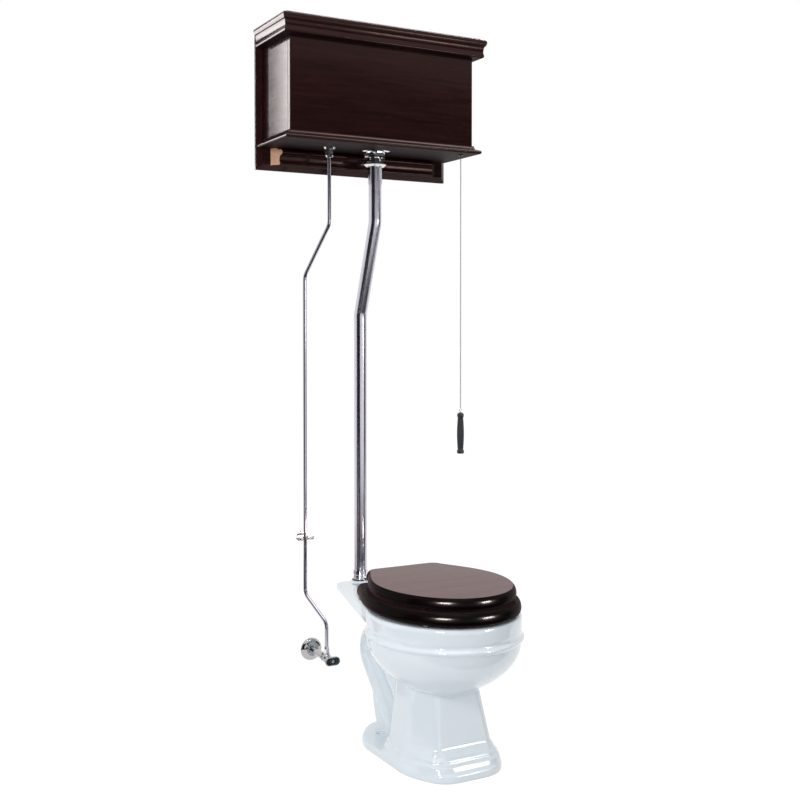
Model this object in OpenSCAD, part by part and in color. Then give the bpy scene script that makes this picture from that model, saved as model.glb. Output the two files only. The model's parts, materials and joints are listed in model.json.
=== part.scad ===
// High-level toilet in two pieces: a china bowl with a wooden seat, and a wooden
// tank on a wall board, joined by a flush pipe and worked by a pull chain.
// X points right and Y to the wall. The origin is the centre of the bowl's
// outlet, on the floor.

/* [Room] */
// Distance from the outlet's centre to the finished wall
rough_in = 305; // [300:1:340]

/* [Bowl] */
// Height of the rim above the floor
rim_height = 384; // [370:1:410]
// Width of the bowl over the rim band
bowl_width = 380; // [366:1:394]
// Length of the rim oval, from its back to its front
bowl_length = 422; // [410:1:440]
// Distance from the outlet's centre to the front of the rim
rim_reach = 414; // [404:1:430]
// Height of the plain band under the rim
band_height = 44; // [40:1:50]
// Radius of the bead below the band
bead_radius = 6; // [4:0.5:8]
// Width of the opening inside the rim
opening_width = 236; // [220:1:246]
// Length of the opening inside the rim
opening_length = 296; // [280:1:306]
// Width of the deck at its back edge
deck_rear_width = 128; // [110:1:150]
// Gap between the deck and the wall
deck_gap = 11; // [6:1:16]
// How far the deck falls from the rim to its back edge
deck_drop = 20; // [10:1:24]
// Width of the foot on the floor
base_width = 272; // [250:1:290]
// Distance from the outlet's centre to the front of the foot
base_reach = 348; // [338:1:356]
// Distance from the outlet's centre to the back of the foot
base_rear = 90; // [84:1:100]
// Thickness of the foot plate behind the pedestal
foot_thickness = 21; // [18:1:24]
// Width of the pedestal under the bowl
pedestal_width = 186; // [176:1:196]
// Height of the trapway's body, across its run
trap_height = 86; // [80:1:92]
// Width of the trapway's body
trap_width = 118; // [90:1:126]
// Radius of the water passage
passage_radius = 27; // [24:0.5:29]
// Distance between the two floor bolts
floor_bolt_spacing = 152; // [140:1:160]
// Radius of a floor bolt hole
floor_bolt_hole = 6.5; // [5:0.5:8]

/* [Seat] */
// Thickness of the seat ring
ring_thickness = 29; // [22:1:32]
// Thickness of the seat lid
lid_thickness = 28; // [22:1:32]
// Gap between rim and ring, held by the bumpers
seat_gap = 7; // [5:0.5:9]
// Gap between ring and lid, held by the bumpers
lid_gap = 7; // [6:0.5:9]
// How far the lid stands inside the ring's outline
lid_inset = 12; // [8:1:20]
// Width of the hole in the ring
ring_hole_width = 216; // [200:1:226]
// Length of the hole in the ring
ring_hole_length = 284; // [270:1:292]
// Distance between the two hinge posts
hinge_spacing = 140; // [136:1:156]
// Radius of the hinge pin
pin_radius = 4; // [3:0.25:5]

/* [Flush pipe] */
// Distance from the wall to the centre of the lower pipe
pipe_setback = 49; // [46:1:54]
// Outer radius of the flush pipe
pipe_radius = 18.1; // [16:0.1:19]
// Wall of the flush pipe and its tailpiece
pipe_wall = 1.2; // [1:0.1:1.4]
// Height of the upper bend
upper_bend = 1387; // [1360:1:1410]
// Height of the lower bend
lower_bend = 1131; // [1100:1:1160]
// Radius of both bends
pipe_bend_radius = 70; // [55:1:85]
// How far the tank outlet stands to the right of the bowl's centre line
outlet_offset = 16; // [8:1:24]

/* [Tank] */
// Height of the tank's underside
tank_bottom = 1586; // [1560:1:1620]
// Width of the tank case
tank_width = 562; // [540:1:600]
// Depth of the tank case, from the wall board to its front
tank_depth = 178; // [170:1:190]
// Height of the tank case without its lid
case_height = 302; // [290:1:320]
// Thickness of the case panels
panel = 14; // [12:0.5:16]
// Height of the crown moulding of the lid
crown_height = 54; // [46:1:56]
// How far the nose of the crown stands out from the case
crown_overhang = 31; // [26:1:36]
// Height of the moulding round the foot of the case
base_mould_height = 23; // [18:1:28]
// How far that moulding flares out
base_mould_flare = 20; // [14:1:24]
// Thickness of the wall board
board_thickness = 20; // [16:1:24]
// How far the board stands out beside the case
board_margin = 20; // [16:1:40]
// How far the board hangs below the case
board_drop = 59; // [56:1:66]
// Width of the bevel round the board
board_bevel = 14; // [8:1:18]
// Height of the ledger moulding under the case
ledger_height = 46; // [40:1:50]
// Depth of the ledger moulding
ledger_depth = 25; // [20:1:30]
// Height of the water liner
liner_height = 196; // [180:1:206]
// Thickness of the liner
liner_wall = 3; // [2:0.5:4]
// Width of the dry bay at the right of the liner
dry_bay = 50; // [44:1:60]
// Distance between the two wall screws
wall_screw_spacing = 360; // [300:1:380]

/* [Supply] */
// Outer radius of the supply tube
supply_radius = 5.25; // [4.5:0.25:6]
// Distance from the bowl's centre line to the tank inlet
inlet_offset = 126; // [118:1:134]
// Distance from the bowl's centre line to the tube beside the wall
supply_offset = 162; // [156:1:170]
// Distance from the wall to the centre of the tube
supply_setback = 24; // [20:1:28]
// Distance from the bowl's centre line to the stop valve
stop_offset = 134; // [128:1:140]
// Height of the stop valve
stop_height = 178; // [160:1:200]
// Distance from the wall to the valve's outlet
stop_reach = 105; // [96:1:115]
// Height of the clip that holds the tube
clip_height = 503; // [460:1:560]
// Radius of the wall flange of the stop valve
escutcheon_radius = 32; // [28:1:36]

/* [Pull] */
// Length of the pull handle
handle_length = 118; // [100:1:130]
// Radius of the handle at its belly
handle_radius = 10.4; // [9:0.2:12]
// Length of chain and eye between the case and the handle
pull_length = 736; // [600:1:800]
// Distance from the lever's shaft to the pull chain
lever_arm = 118; // [110:1:124]
// Angle through which the lever turns
lever_swing = 16; // [10:1:18]
// Radius of a bead of the chain
bead = 1.8; // [1.4:0.1:2.2]
// Distance between two beads
bead_pitch = 5.2; // [4.6:0.1:6]

/* [Hidden] */
$fn = 48;
CLEAR = 0.3;
RUN = 0.05;
LAP = 0.5;
FULL = 0.03;

// Colours as seen
CHINA = [0.90, 0.94, 0.96];
MAHOGANY = [0.20, 0.09, 0.09];
CHROME = [0.80, 0.81, 0.83];
SATIN = [0.52, 0.50, 0.54];
BRASS = [0.78, 0.64, 0.34];
RUBBER = [0.08, 0.08, 0.08];
LINER = [0.86, 0.86, 0.82];
CHARCOAL = [0.17, 0.18, 0.19];

// Bowl places
OVAL_A = bowl_width / 2;
OVAL_B = bowl_length / 2;
OVAL_Y = OVAL_B - rim_reach;
DECK_BACK = rough_in - deck_gap;
DECK_FLAT_END = 92;
BAND_FOOT = rim_height - band_height;
BEAD_Z = BAND_FOOT - 2 * bead_radius;
PEDESTAL_TOP = 195;
BELLY_FOOT = 186;
PEDESTAL_FOOT = 70;
BELLY_TOP = BEAD_Z - bead_radius - 4;
SUMP_Z = 104;
TRAP_IN_Z = 108;
CREST_R = trap_height / 2 + 5;
CREST = [90, 212];
RIM_LIP = 12;
CHANNEL = 50;

// Seat places
RING_Z = rim_height + seat_gap;
RING_TOP = RING_Z + ring_thickness;
LID_Z = RING_TOP + lid_gap;
LID_TOP = LID_Z + lid_thickness;
RING_REAR = 24;
RING_A = OVAL_A - 3;
RING_FRONT = rim_reach + 3;
RING_REAR_HALF = 136;
HOLE_Y = ring_hole_length / 2 - RING_FRONT + 58;
PIN_Y = 44;
PIN_Z = RING_TOP + lid_gap - 2;
KNUCKLE = pin_radius + 4;
HINGE_X = hinge_spacing / 2;

// Pipe places
PIPE_Y = rough_in - pipe_setback;
SPUD_Z = rim_height - deck_drop + 8;
SPUD_TOP = SPUD_Z + 28;
TAIL_RADIUS = pipe_radius + CLEAR + pipe_wall;
SHANK_RADIUS = TAIL_RADIUS + CLEAR + 1.6;
TAIL_END = tank_bottom - 91;
PIPE_TOP = TAIL_END + 30;

// Tank places
BOARD_Y = rough_in - board_thickness;
FRONT_Y = BOARD_Y - tank_depth;
CASE_TOP = tank_bottom + case_height;
CROWN_Z = CASE_TOP - crown_height + 23;
CROWN_TOP = CROWN_Z + crown_height;
HALF_W = tank_width / 2;
INNER_W = HALF_W - panel;
FLOOR_TOP = tank_bottom + panel;
OUTLET_Y = BOARD_Y - tank_depth / 2;
LID_CLEAR = 0.8;
LINER_L = -INNER_W + 1;
LINER_R = INNER_W - dry_bay;
LINER_F = FRONT_Y + panel + 1;
LINER_B = BOARD_Y - panel - 1;
LINER_Z = FLOOR_TOP + 0.2;
LINER_TOP = LINER_Z + liner_height;
VALVE_Z = LINER_Z + liner_wall + 3;
SEAT_Z = VALVE_Z + 23;
VALVE_THROAT = SHANK_RADIUS - 1.6;
SEAT_RADIUS = VALVE_THROAT + 5;
OVERFLOW_X = outlet_offset + 50;
OVERFLOW_TOP = LINER_TOP - 28;

// Pull places
CHAIN_X = INNER_W - 9;
CHAIN_Y = FRONT_Y + panel + 9.5;
SHAFT_X = CHAIN_X - lever_arm;
SHAFT_Z = LINER_TOP + 24;
LIFT_ARM = SHAFT_X - outlet_offset;
TILT = lever_swing / 2;
FORK_Z = SHAFT_Z + lever_arm * sin(TILT);
LIFT_Z = SHAFT_Z - LIFT_ARM * sin(TILT);
ARM_T = 5;
EYE_TOP = tank_bottom - pull_length + 12;
HANDLE_TOP = tank_bottom - pull_length;

// Supply places
INLET_X = -inlet_offset;
INLET_Y = OUTLET_Y;
SUPPLY_X = -supply_offset;
SUPPLY_Y = rough_in - supply_setback;
STOP_X = -stop_offset;
STOP_Y = rough_in - stop_reach;
FLOAT_Z = LINER_TOP - 6;
FLOAT_PIVOT_X = INLET_X - 16;
FLOAT_DROOP = 20;
FLOAT_ARM = 80;
FLOAT_RADIUS = 34;

// Shared shapes

function signed_power(v, p) = sign(v) * pow(abs(v), p);

function unit(v) = v / norm(v);

function mix(a, b, f) = a + (b - a) * f;

// Points of a superellipse at one height, anticlockwise from above.
function oval(a, b, yc, z, n = 2, count = 44) = [
    for (i = [0:count - 1])
        let (t = 360 * i / count - 90)
        [a * signed_power(cos(t), 2 / n), yc + b * signed_power(sin(t), 2 / n), z]
];

// A closed skin through rings of equal count, from the lowest to the highest.
// Each ring is the same to the left and the right. Its ends are closed by strips
// across, from the front to the back.
module loft(rings) {
    n = len(rings[0]);
    m = len(rings);
    shift = abs(rings[0][0][0]) < 0.001 ? 0 : 1;
    sides = [
        for (k = [0:m - 2], i = [0:n - 1])
            let (a = k * n + i, b = k * n + (i + 1) % n)
            each [[a, a + n, b + n], [a, b + n, b]]
    ];
    bottom = [
        for (i = [0:floor((n - 2 - shift) / 2)])
            let (a = i, b = i + 1, c = n - 1 - i - shift, d = (n - i - shift) % n)
            each (a == d) ? [[a, b, c]] : (b == c) ? [[a, b, d]] : [[a, b, c], [a, c, d]]
    ];
    top = [for (f = bottom) [for (j = [2:-1:0]) f[j] + (m - 1) * n]];
    polyhedron([for (r = rings) each r], concat(bottom, top, sides));
}

// A tube in the plane of symmetry. Each point is [y, z, half width, half height].
module side_sweep(path, count = 18) {
    last = len(path) - 1;
    loft([
        for (k = [0:last])
            let (
                a = path[max(k - 1, 0)],
                b = path[min(k + 1, last)],
                dir = unit([b[0] - a[0], b[1] - a[1]])
            )
            [
                for (i = [0:count - 1])
                    let (t = 360 * i / count - 90)
                    [
                        path[k][2] * cos(t),
                        path[k][0] + path[k][3] * sin(t) * dir[1],
                        path[k][1] - path[k][3] * sin(t) * dir[0]
                    ]
            ]
    ]);
}

// A polygon whose corners are curved over the length r, with m points each.
function rounded(poly, r, z, m = 4) = [
    for (i = [0:len(poly) - 1])
        let (
            p = poly[i],
            before = poly[(i + len(poly) - 1) % len(poly)] - p,
            after = poly[(i + 1) % len(poly)] - p,
            u = unit(before) * min(r, 0.46 * norm(before)),
            v = unit(after) * min(r, 0.46 * norm(after))
        )
        for (j = [0:m - 1])
            let (t = j / (m - 1), q = p + u * pow(1 - t, 2) + v * t * t)
            [q[0], q[1], z]
];

// A plan with eight corners: half widths in front, at the sides and behind,
// and where the front, the two side corners and the back lie.
function eight(front, side, rear, y0, y1, y2, y3) = [
    [front, y0], [side, y1], [side, y2], [rear, y3],
    [-rear, y3], [-side, y2], [-side, y1], [-front, y0]
];

module tube(outer, inner, height) {
    difference() {
        cylinder(r = outer, h = height);
        translate([0, 0, -1]) cylinder(r = inner, h = height + 2);
    }
}

module hex_nut(across, inner, height) {
    difference() {
        intersection() {
            cylinder(r = across / sqrt(3), h = height, $fn = 6);
            cylinder(r1 = across / 2 + height * 0.6, r2 = across / 2 + 0.4, h = height);
        }
        translate([0, 0, -1]) cylinder(r = inner, h = height + 2);
    }
}

// A rectangle with round corners, from exact circles.
module soft_rect(x0, x1, y0, y1, r) {
    translate([x0 + r, y0]) square([x1 - x0 - 2 * r, y1 - y0]);
    translate([x0, y0 + r]) square([x1 - x0, y1 - y0 - 2 * r]);
    for (x = [x0 + r, x1 - r], y = [y0 + r, y1 - r]) translate([x, y]) circle(r = r);
}

// Section of a tube.
module ring_section(r, wall) {
    difference() {
        circle(r = r);
        circle(r = r - wall);
    }
}

// A tube that comes down, steps aside along local X and goes on down. Its bends
// are a hair fuller than the straights, which reach a little way into them.
module stepped_tube(top, high, low, foot, step, r, wall, bend) {
    slope = atan(step / (high - low));
    tangent = bend * tan(slope / 2);
    run = (high - low) / cos(slope) - 2 * tangent;
    translate([0, 0, high + tangent - LAP]) linear_extrude(height = top - high - tangent + LAP)
        ring_section(r, wall);
    translate([bend, 0, high + tangent]) rotate([90, 0, 0]) rotate([0, 0, 180])
        rotate_extrude(angle = slope) translate([bend, 0]) ring_section(r + FULL, wall + 2 * FULL);
    translate([bend * (1 - cos(slope)), 0, high + tangent - bend * sin(slope)])
        rotate([0, 180 - slope, 0]) translate([0, 0, -LAP])
            linear_extrude(height = run + 2 * LAP) ring_section(r, wall);
    translate([step - bend, 0, low - tangent]) rotate([90, 0, 0])
        rotate_extrude(angle = slope) translate([bend, 0]) ring_section(r + FULL, wall + 2 * FULL);
    translate([step, 0, foot]) linear_extrude(height = low - tangent - foot + LAP)
        ring_section(r, wall);
}

// Bowl

// Half width of the bowl below its bead, a curve that tucks in to the pedestal.
function belly(z) =
    let (h = (BELLY_TOP - z) / (BELLY_TOP - BELLY_FOOT))
    mix(pedestal_width / 2 - 21, OVAL_A - 2, 1 - pow(max(h, 0), 2.2));

function belly_length(a) = OVAL_B + (a - OVAL_A) * 1.18;

function bowl_ring(a, z) = oval(a, belly_length(a), OVAL_Y, z);

module bowl_outside() {
    bead_steps = 4;
    belly_steps = 9;
    loft(concat(
        [
            for (i = [0:belly_steps])
                let (z = mix(BELLY_FOOT, BELLY_TOP, pow(i / belly_steps, 1.3)))
                bowl_ring(belly(z), z)
        ],
        [
            for (i = [0:bead_steps])
                let (t = 180 * i / bead_steps)
                bowl_ring(OVAL_A - 1 + bead_radius * sin(t), BEAD_Z - bead_radius * cos(t) * 0.9)
        ],
        [bowl_ring(OVAL_A - 4, BAND_FOOT + 12)]
    ));
}

// Height of the deck's top: level to the hinges, then falling to the back.
function deck_top(y) =
    rim_height - deck_drop * max(0, (y - DECK_FLAT_END) / (DECK_BACK - DECK_FLAT_END));

// Outline of the deck, drawn in by an inset, with its height from a function.
function deck_half(inset) = concat(
    [
        for (i = [0:15])
            let (t = 116 * i / 15)
            [
                (OVAL_A - inset) * sin(t),
                OVAL_Y - (OVAL_B - inset) * cos(t)
            ]
    ],
    [
        for (i = [0:4])
            let (t = 90 * i / 4, r = 16)
            [
                deck_rear_width / 2 - inset - r * (1 - cos(t)),
                DECK_BACK - inset - r * (1 - sin(t))
            ]
    ]
);

function deck_ring(inset, top_inset, level) =
    let (h = deck_half(inset), n = len(h))
    [
        for (p = h)
            [p[0], p[1], (level >= 0) ? BAND_FOOT + level : deck_top(p[1]) - top_inset],
        for (i = [n - 1:-1:1])
            [-h[i][0], h[i][1], (level >= 0) ? BAND_FOOT + level : deck_top(h[i][1]) - top_inset]
    ];

module deck() {
    loft([
        deck_ring(6, 0, 0), deck_ring(1, 0, 5),
        deck_ring(0, 10, -1), deck_ring(1.5, 3, -1), deck_ring(6, 0, -1)
    ]);
}

// Plan of the pedestal at a height, with eight faces.
function pedestal_plan(z) =
    let (f = (z - PEDESTAL_FOOT) / (PEDESTAL_TOP - PEDESTAL_FOOT))
    eight(
        mix(78, 62, f), mix(pedestal_width / 2 + 19, pedestal_width / 2, f), mix(80, 70, f),
        -mix(rim_reach - 111, rim_reach - 142, f), -212, -120, -100
    );

// Plan of the moulded steps, from the foot to the pedestal.
function step_plan(f, inset) =
    let (p = pedestal_plan(PEDESTAL_FOOT))
    [
        for (i = [0:7])
            let (
                foot = eight(90, base_width / 2, 116, -base_reach, -258, -116, -96)[i],
                q = mix(foot, p[i], f)
            )
            q - inset * unit(q - [0, -190])
    ];

module pedestal() {
    steps = [
        [0.12, 3, 5], [0.12, 3, foot_thickness + 3], [0.14, 4, foot_thickness + 8],
        [0.26, 0, foot_thickness + 9], [0.28, 0, foot_thickness + 14], [0.3, 2, foot_thickness + 17],
        [0.5, 0, foot_thickness + 18], [0.52, 0, foot_thickness + 27], [0.56, 2, foot_thickness + 30],
        [0.72, 0, foot_thickness + 31], [0.8, 0, foot_thickness + 38], [0.96, 0, PEDESTAL_FOOT - 3]
    ];
    loft(concat(
        [for (s = steps) rounded(step_plan(s[0], s[1]), mix(44, 7, s[0]), s[2])],
        [
            for (z = [PEDESTAL_FOOT, mix(PEDESTAL_FOOT, PEDESTAL_TOP, 0.5), PEDESTAL_TOP + 14])
                rounded(pedestal_plan(z), 7, z)
        ]
    ));
}

module foot() {
    plan = eight(84, base_width / 2, 62, -base_reach, -252, -6, base_rear);
    inner = eight(82, base_width / 2 - 3, 60, 3 - base_reach, -251, -7, base_rear - 3);
    loft([
        rounded(inner, 46, 0),
        rounded(plan, 46, 3),
        rounded(plan, 46, foot_thickness - 4),
        rounded(inner, 46, foot_thickness)
    ]);
}

// Middle of the trapway: it leaves the sump level, rises at 45 degrees, turns
// over its crest and comes back to fall into the outlet.
function trap_line(start) =
    let (
        rise = 60, fall = 50, c = sin(45),
        up_z = TRAP_IN_Z + rise * (1 - c),
        top_y = CREST[0] - CREST_R * c,
        in_y = top_y - (CREST[1] + CREST_R * c - up_z) - rise * c,
        low_z = CREST[1] - CREST_R * c - (CREST[0] + CREST_R * c - fall * (1 - c)) - fall * c
    )
    concat(
        [[start, TRAP_IN_Z]],
        [for (t = [0:15:45]) [in_y + rise * sin(t), TRAP_IN_Z + rise * (1 - cos(t))]],
        [for (h = [45:-18:-135]) CREST + CREST_R * [-sin(h), cos(h)]],
        [for (h = [-135:15:-90]) [fall + fall * sin(h), low_z - fall * cos(h)]],
        [[0, 8]]
    );

module trap(half_width, half_height, start) {
    side_sweep([for (p = trap_line(start)) [p[0], p[1], half_width, half_height]]);
}

// Web between the legs of the trapway.
module trap_web() {
    translate([-16, 0, 0]) rotate([90, 0, 90]) linear_extrude(height = 32)
        polygon([[-112, 12], [6, 12], [100, 120], [100, 205], [60, 205], [-112, 100]]);
}

// Full heel behind the outlet, between the foot and the falling leg.
module heel() {
    loft([
        for (h = [[12, 40, 38], [foot_thickness + 4, 46, 40], [76, 62, 40], [100, 68, 38], [124, 72, 30]])
            oval(trap_width / 2 - 3, h[2], h[1], h[0], 2, 24)
    ]);
}

// Water way under the deck, from the spud to the back of the bowl.
module neck() {
    side_sweep(
        [
            for (p = [
                [-60, 288, 84, 66], [0, 292, 54, 60], [60, 300, 46, 53], [110, 308, 46, 47],
                [180, 324, 45, 34], [PIPE_Y - 12, 334, 44, 26], [DECK_BACK - 3, 340, 34, 17]
            ])
                [p[0], p[1] + rim_height - 384, p[2], p[3]]
        ],
        18
    );
}

// The well follows the outside down to the pedestal and closes in to the sump.
module well_space() {
    wall = 13;
    low_z = PEDESTAL_TOP + 16;
    low = belly(low_z) - wall;
    low_b = belly_length(low + wall) - wall;
    steps = 5;
    top = rim_height - 60;
    loft(concat(
        [
            for (i = [0:3])
                let (f = i / 4, g = pow(f, 3))
                oval(
                    mix(29, low, g), mix(29, low_b, g), mix(-150, OVAL_Y, f),
                    mix(SUMP_Z - 22, low_z, f), 2, 36
                )
        ],
        [
            for (i = [0:steps])
                let (
                    z = mix(low_z, BELLY_TOP - 14, i / steps),
                    a = belly(z) - wall - 8 * i / steps
                )
                oval(a, belly_length(a + wall) - wall, OVAL_Y, z, 2, 36)
        ],
        [
            oval(OVAL_A - 22, OVAL_B - 22, OVAL_Y, top + 12, 2, 36),
            oval(OVAL_A - 22, OVAL_B - 22, OVAL_Y, rim_height - 18, 2, 36)
        ]
    ));
}

module rim_lip() {
    a = opening_width / 2 + RIM_LIP;
    b = opening_length / 2 + RIM_LIP;
    loft([
        oval(a - 4, b - 4, OVAL_Y - 10, rim_height - CHANNEL, 2, 36),
        oval(a, b, OVAL_Y - 10, rim_height - CHANNEL + 6, 2, 36),
        oval(a, b, OVAL_Y - 10, rim_height - 10, 2, 36)
    ]);
}

module rim_opening() {
    a = opening_width / 2;
    b = opening_length / 2;
    loft([
        oval(a + 3, b + 3, OVAL_Y - 10, rim_height - CHANNEL - 8, 2, 36),
        oval(a, b, OVAL_Y - 10, rim_height - CHANNEL + 6, 2, 36),
        oval(a, b, OVAL_Y - 10, rim_height - 8, 2, 36),
        oval(a + 2.5, b + 2.5, OVAL_Y - 10, rim_height - 2.5, 2, 36),
        oval(a + 9, b + 9, OVAL_Y - 10, rim_height + 0.5, 2, 36)
    ]);
}

// Hollow under the front of the foot, as cast.
module foot_hollow() {
    plan = [for (p = pedestal_plan(PEDESTAL_FOOT)) p - 18 * unit(p - [0, -190])];
    loft([
        rounded(plan, 20, -1),
        rounded(plan, 20, 46),
        rounded([for (p = plan) p - 12 * unit(p - [0, -190])], 16, 60)
    ]);
}

module bowl() {
    color(CHINA) difference() {
        union() {
            difference() {
                union() {
                    bowl_outside();
                    deck();
                    pedestal();
                    foot();
                    neck();
                }
                well_space();
                foot_hollow();
            }
            rim_lip();
            trap(trap_width / 2, trap_height / 2, -113);
            trap_web();
            heel();
            translate([0, PIPE_Y, SPUD_Z - 24]) cylinder(r = 28, h = 24);
        }
        rim_opening();
        trap(passage_radius, passage_radius, -150);
        translate([0, 0, -1]) cylinder(r = passage_radius + 1, h = 25);
        for (x = [-1, 1]) translate([x * floor_bolt_spacing / 2, 0, -1])
            cylinder(r = floor_bolt_hole, h = foot_thickness + 60);
        for (x = [-1, 1]) translate([x * HINGE_X, PIN_Y, BAND_FOOT - 30])
            cylinder(r = 7, h = 90);
        translate([0, PIPE_Y, SPUD_Z - 44]) cylinder(r = SHANK_RADIUS - 1.6, h = 60);
        translate([0, PIPE_Y, SPUD_Z - 31]) rotate([90, 0, 0]) cylinder(r = 13, h = PIPE_Y + 24);
    }
}

module spud_bushing() {
    color(RUBBER) translate([0, PIPE_Y, SPUD_Z]) {
        translate([0, 0, -26]) tube(SHANK_RADIUS - 1.7, SHANK_RADIUS - 4.6, 27);
        tube(24, SHANK_RADIUS - 4.6, 3);
    }
}

module flush_spud() {
    bore = pipe_radius + CLEAR;
    color(CHROME) translate([0, PIPE_Y, SPUD_Z + 3]) difference() {
        union() {
            cylinder(r = 23, h = 3);
            cylinder(r = bore + 2, h = SPUD_TOP - SPUD_Z - 3);
            translate([0, 0, 12]) cylinder(r1 = bore + 2, r2 = bore + 3, h = 2);
            translate([0, 0, 14]) cylinder(r = bore + 3, h = SPUD_TOP - SPUD_Z - 17);
            translate([0, 0, -29]) cylinder(r = SHANK_RADIUS - 4.7, h = 30);
        }
        translate([0, 0, 6]) cylinder(r = bore, h = 60);
        translate([0, 0, -40]) cylinder(r = bore - 3.6, h = 60);
    }
}

// Flush pipe

module flush_pipe() {
    dx = -outlet_offset;
    dy = PIPE_Y - OUTLET_Y;
    color(SATIN) translate([outlet_offset, OUTLET_Y, 0]) rotate([0, 0, atan2(dy, dx)])
        stepped_tube(
            PIPE_TOP, upper_bend, lower_bend, SPUD_Z + 10, norm([dx, dy]), pipe_radius,
            pipe_wall, pipe_bend_radius
        );
}

module flush_tailpiece() {
    color(SATIN) translate([outlet_offset, OUTLET_Y, TAIL_END])
        tube(TAIL_RADIUS, TAIL_RADIUS - pipe_wall, 76);
}

module slip_nut() {
    color(CHROME) translate([outlet_offset, OUTLET_Y, tank_bottom - 43]) difference() {
        union() {
            cylinder(r1 = TAIL_RADIUS + 6, r2 = TAIL_RADIUS + 12, h = 5);
            translate([0, 0, 5]) cylinder(r = (TAIL_RADIUS + 9) * 1.1, h = 8, $fn = 6);
        }
        translate([0, 0, -1]) cylinder(r = TAIL_RADIUS + 0.15, h = 20);
        translate([0, 0, 7]) cylinder(r = SHANK_RADIUS + 0.15, h = 20);
    }
}

module flush_locknut() {
    color(CHROME) translate([outlet_offset, OUTLET_Y, tank_bottom - 4 - 15])
        hex_nut(2 * SHANK_RADIUS + 12, SHANK_RADIUS + 0.15, 15);
}

module flush_escutcheon() {
    color(CHROME) translate([outlet_offset, OUTLET_Y, tank_bottom - 4]) difference() {
        union() {
            translate([0, 0, 2]) cylinder(r = 46, h = 2);
            cylinder(r1 = 38, r2 = 45, h = 2);
        }
        translate([0, 0, -1]) cylinder(r = SHANK_RADIUS + 0.5, h = 8);
    }
}

// Flush valve

module flush_valve_body() {
    color(BRASS) translate([outlet_offset, OUTLET_Y, 0]) difference() {
        union() {
            translate([0, 0, tank_bottom - 35.8])
                cylinder(r = SHANK_RADIUS, h = VALVE_Z - tank_bottom + 36.8);
            translate([0, 0, VALVE_Z]) cylinder(r = 38, h = 5);
            translate([0, 0, VALVE_Z]) cylinder(r = SEAT_RADIUS + 4, h = SEAT_Z - VALVE_Z - 4);
            translate([0, 0, SEAT_Z - 5]) cylinder(r1 = SEAT_RADIUS + 4, r2 = SEAT_RADIUS + 1.5, h = 5);
            translate([50, 0, VALVE_Z]) cylinder(r = 18, h = 24);
            translate([20, -12, VALVE_Z]) cube([30, 24, 18]);
        }
        translate([0, 0, tank_bottom - 60]) cylinder(r = VALVE_THROAT, h = 200);
        translate([0, 0, VALVE_Z + 8]) cylinder(r = SEAT_RADIUS, h = 60);
        translate([50, 0, VALVE_Z + 12]) cylinder(r = 14.1, h = 60);
        translate([0, 0, VALVE_Z + 11]) rotate([0, 90, 0]) cylinder(r = 6, h = 50);
        translate([50, 0, VALVE_Z + 5]) cylinder(r = 9, h = 20);
    }
}

module flush_valve_washer() {
    color(RUBBER) translate([outlet_offset, OUTLET_Y, LINER_Z + liner_wall])
        tube(36, SHANK_RADIUS + 0.3, VALVE_Z - LINER_Z - liner_wall);
}

module overflow_tube() {
    color(BRASS) translate([OVERFLOW_X, OUTLET_Y, VALVE_Z + 12]) {
        tube(14, 12.6, OVERFLOW_TOP - VALVE_Z - 12);
    }
}

GUIDE_Z = SEAT_Z + 108;

module lift_guide() {
    color(BRASS) difference() {
        union() {
            translate([OVERFLOW_X, OUTLET_Y, GUIDE_Z]) cylinder(r = 17, h = 12);
            translate([outlet_offset, OUTLET_Y - 5, GUIDE_Z + 3])
                cube([OVERFLOW_X - outlet_offset - 14, 10, 5]);
            translate([outlet_offset, OUTLET_Y, GUIDE_Z]) cylinder(r = 7, h = 12);
        }
        translate([OVERFLOW_X, OUTLET_Y, GUIDE_Z - 1]) cylinder(r = 14.05, h = 20);
        translate([outlet_offset, OUTLET_Y, GUIDE_Z - 1]) cylinder(r = 3 + RUN, h = 20);
    }
}

BALL_RADIUS = SEAT_RADIUS + 8;
BALL_Z = SEAT_Z + sqrt(pow(BALL_RADIUS, 2) - pow(SEAT_RADIUS, 2)) + 0.5;

module tank_ball() {
    color(RUBBER) translate([outlet_offset, OUTLET_Y, BALL_Z]) difference() {
        union() {
            sphere(r = BALL_RADIUS);
            translate([0, 0, BALL_RADIUS * 0.7]) cylinder(r1 = BALL_RADIUS * 0.7, r2 = 8, h = BALL_RADIUS * 0.6);
        }
        translate([0, 0, BALL_RADIUS * 0.8]) cylinder(r = 3.05, h = BALL_RADIUS);
    }
}

module lift_rod() {
    foot = BALL_Z + BALL_RADIUS * 0.8;
    color(BRASS) translate([outlet_offset, OUTLET_Y, 0]) {
        translate([0, 0, foot]) cylinder(r = 3, h = LIFT_Z + 16 - foot);
        translate([0, 0, LIFT_Z + ARM_T / 2 + 1.6]) cylinder(r = 7, h = 5);
        translate([0, 0, BALL_Z + BALL_RADIUS * 1.3 + CLEAR]) cylinder(r = 7, h = 4);
    }
}

// Tank case

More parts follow.
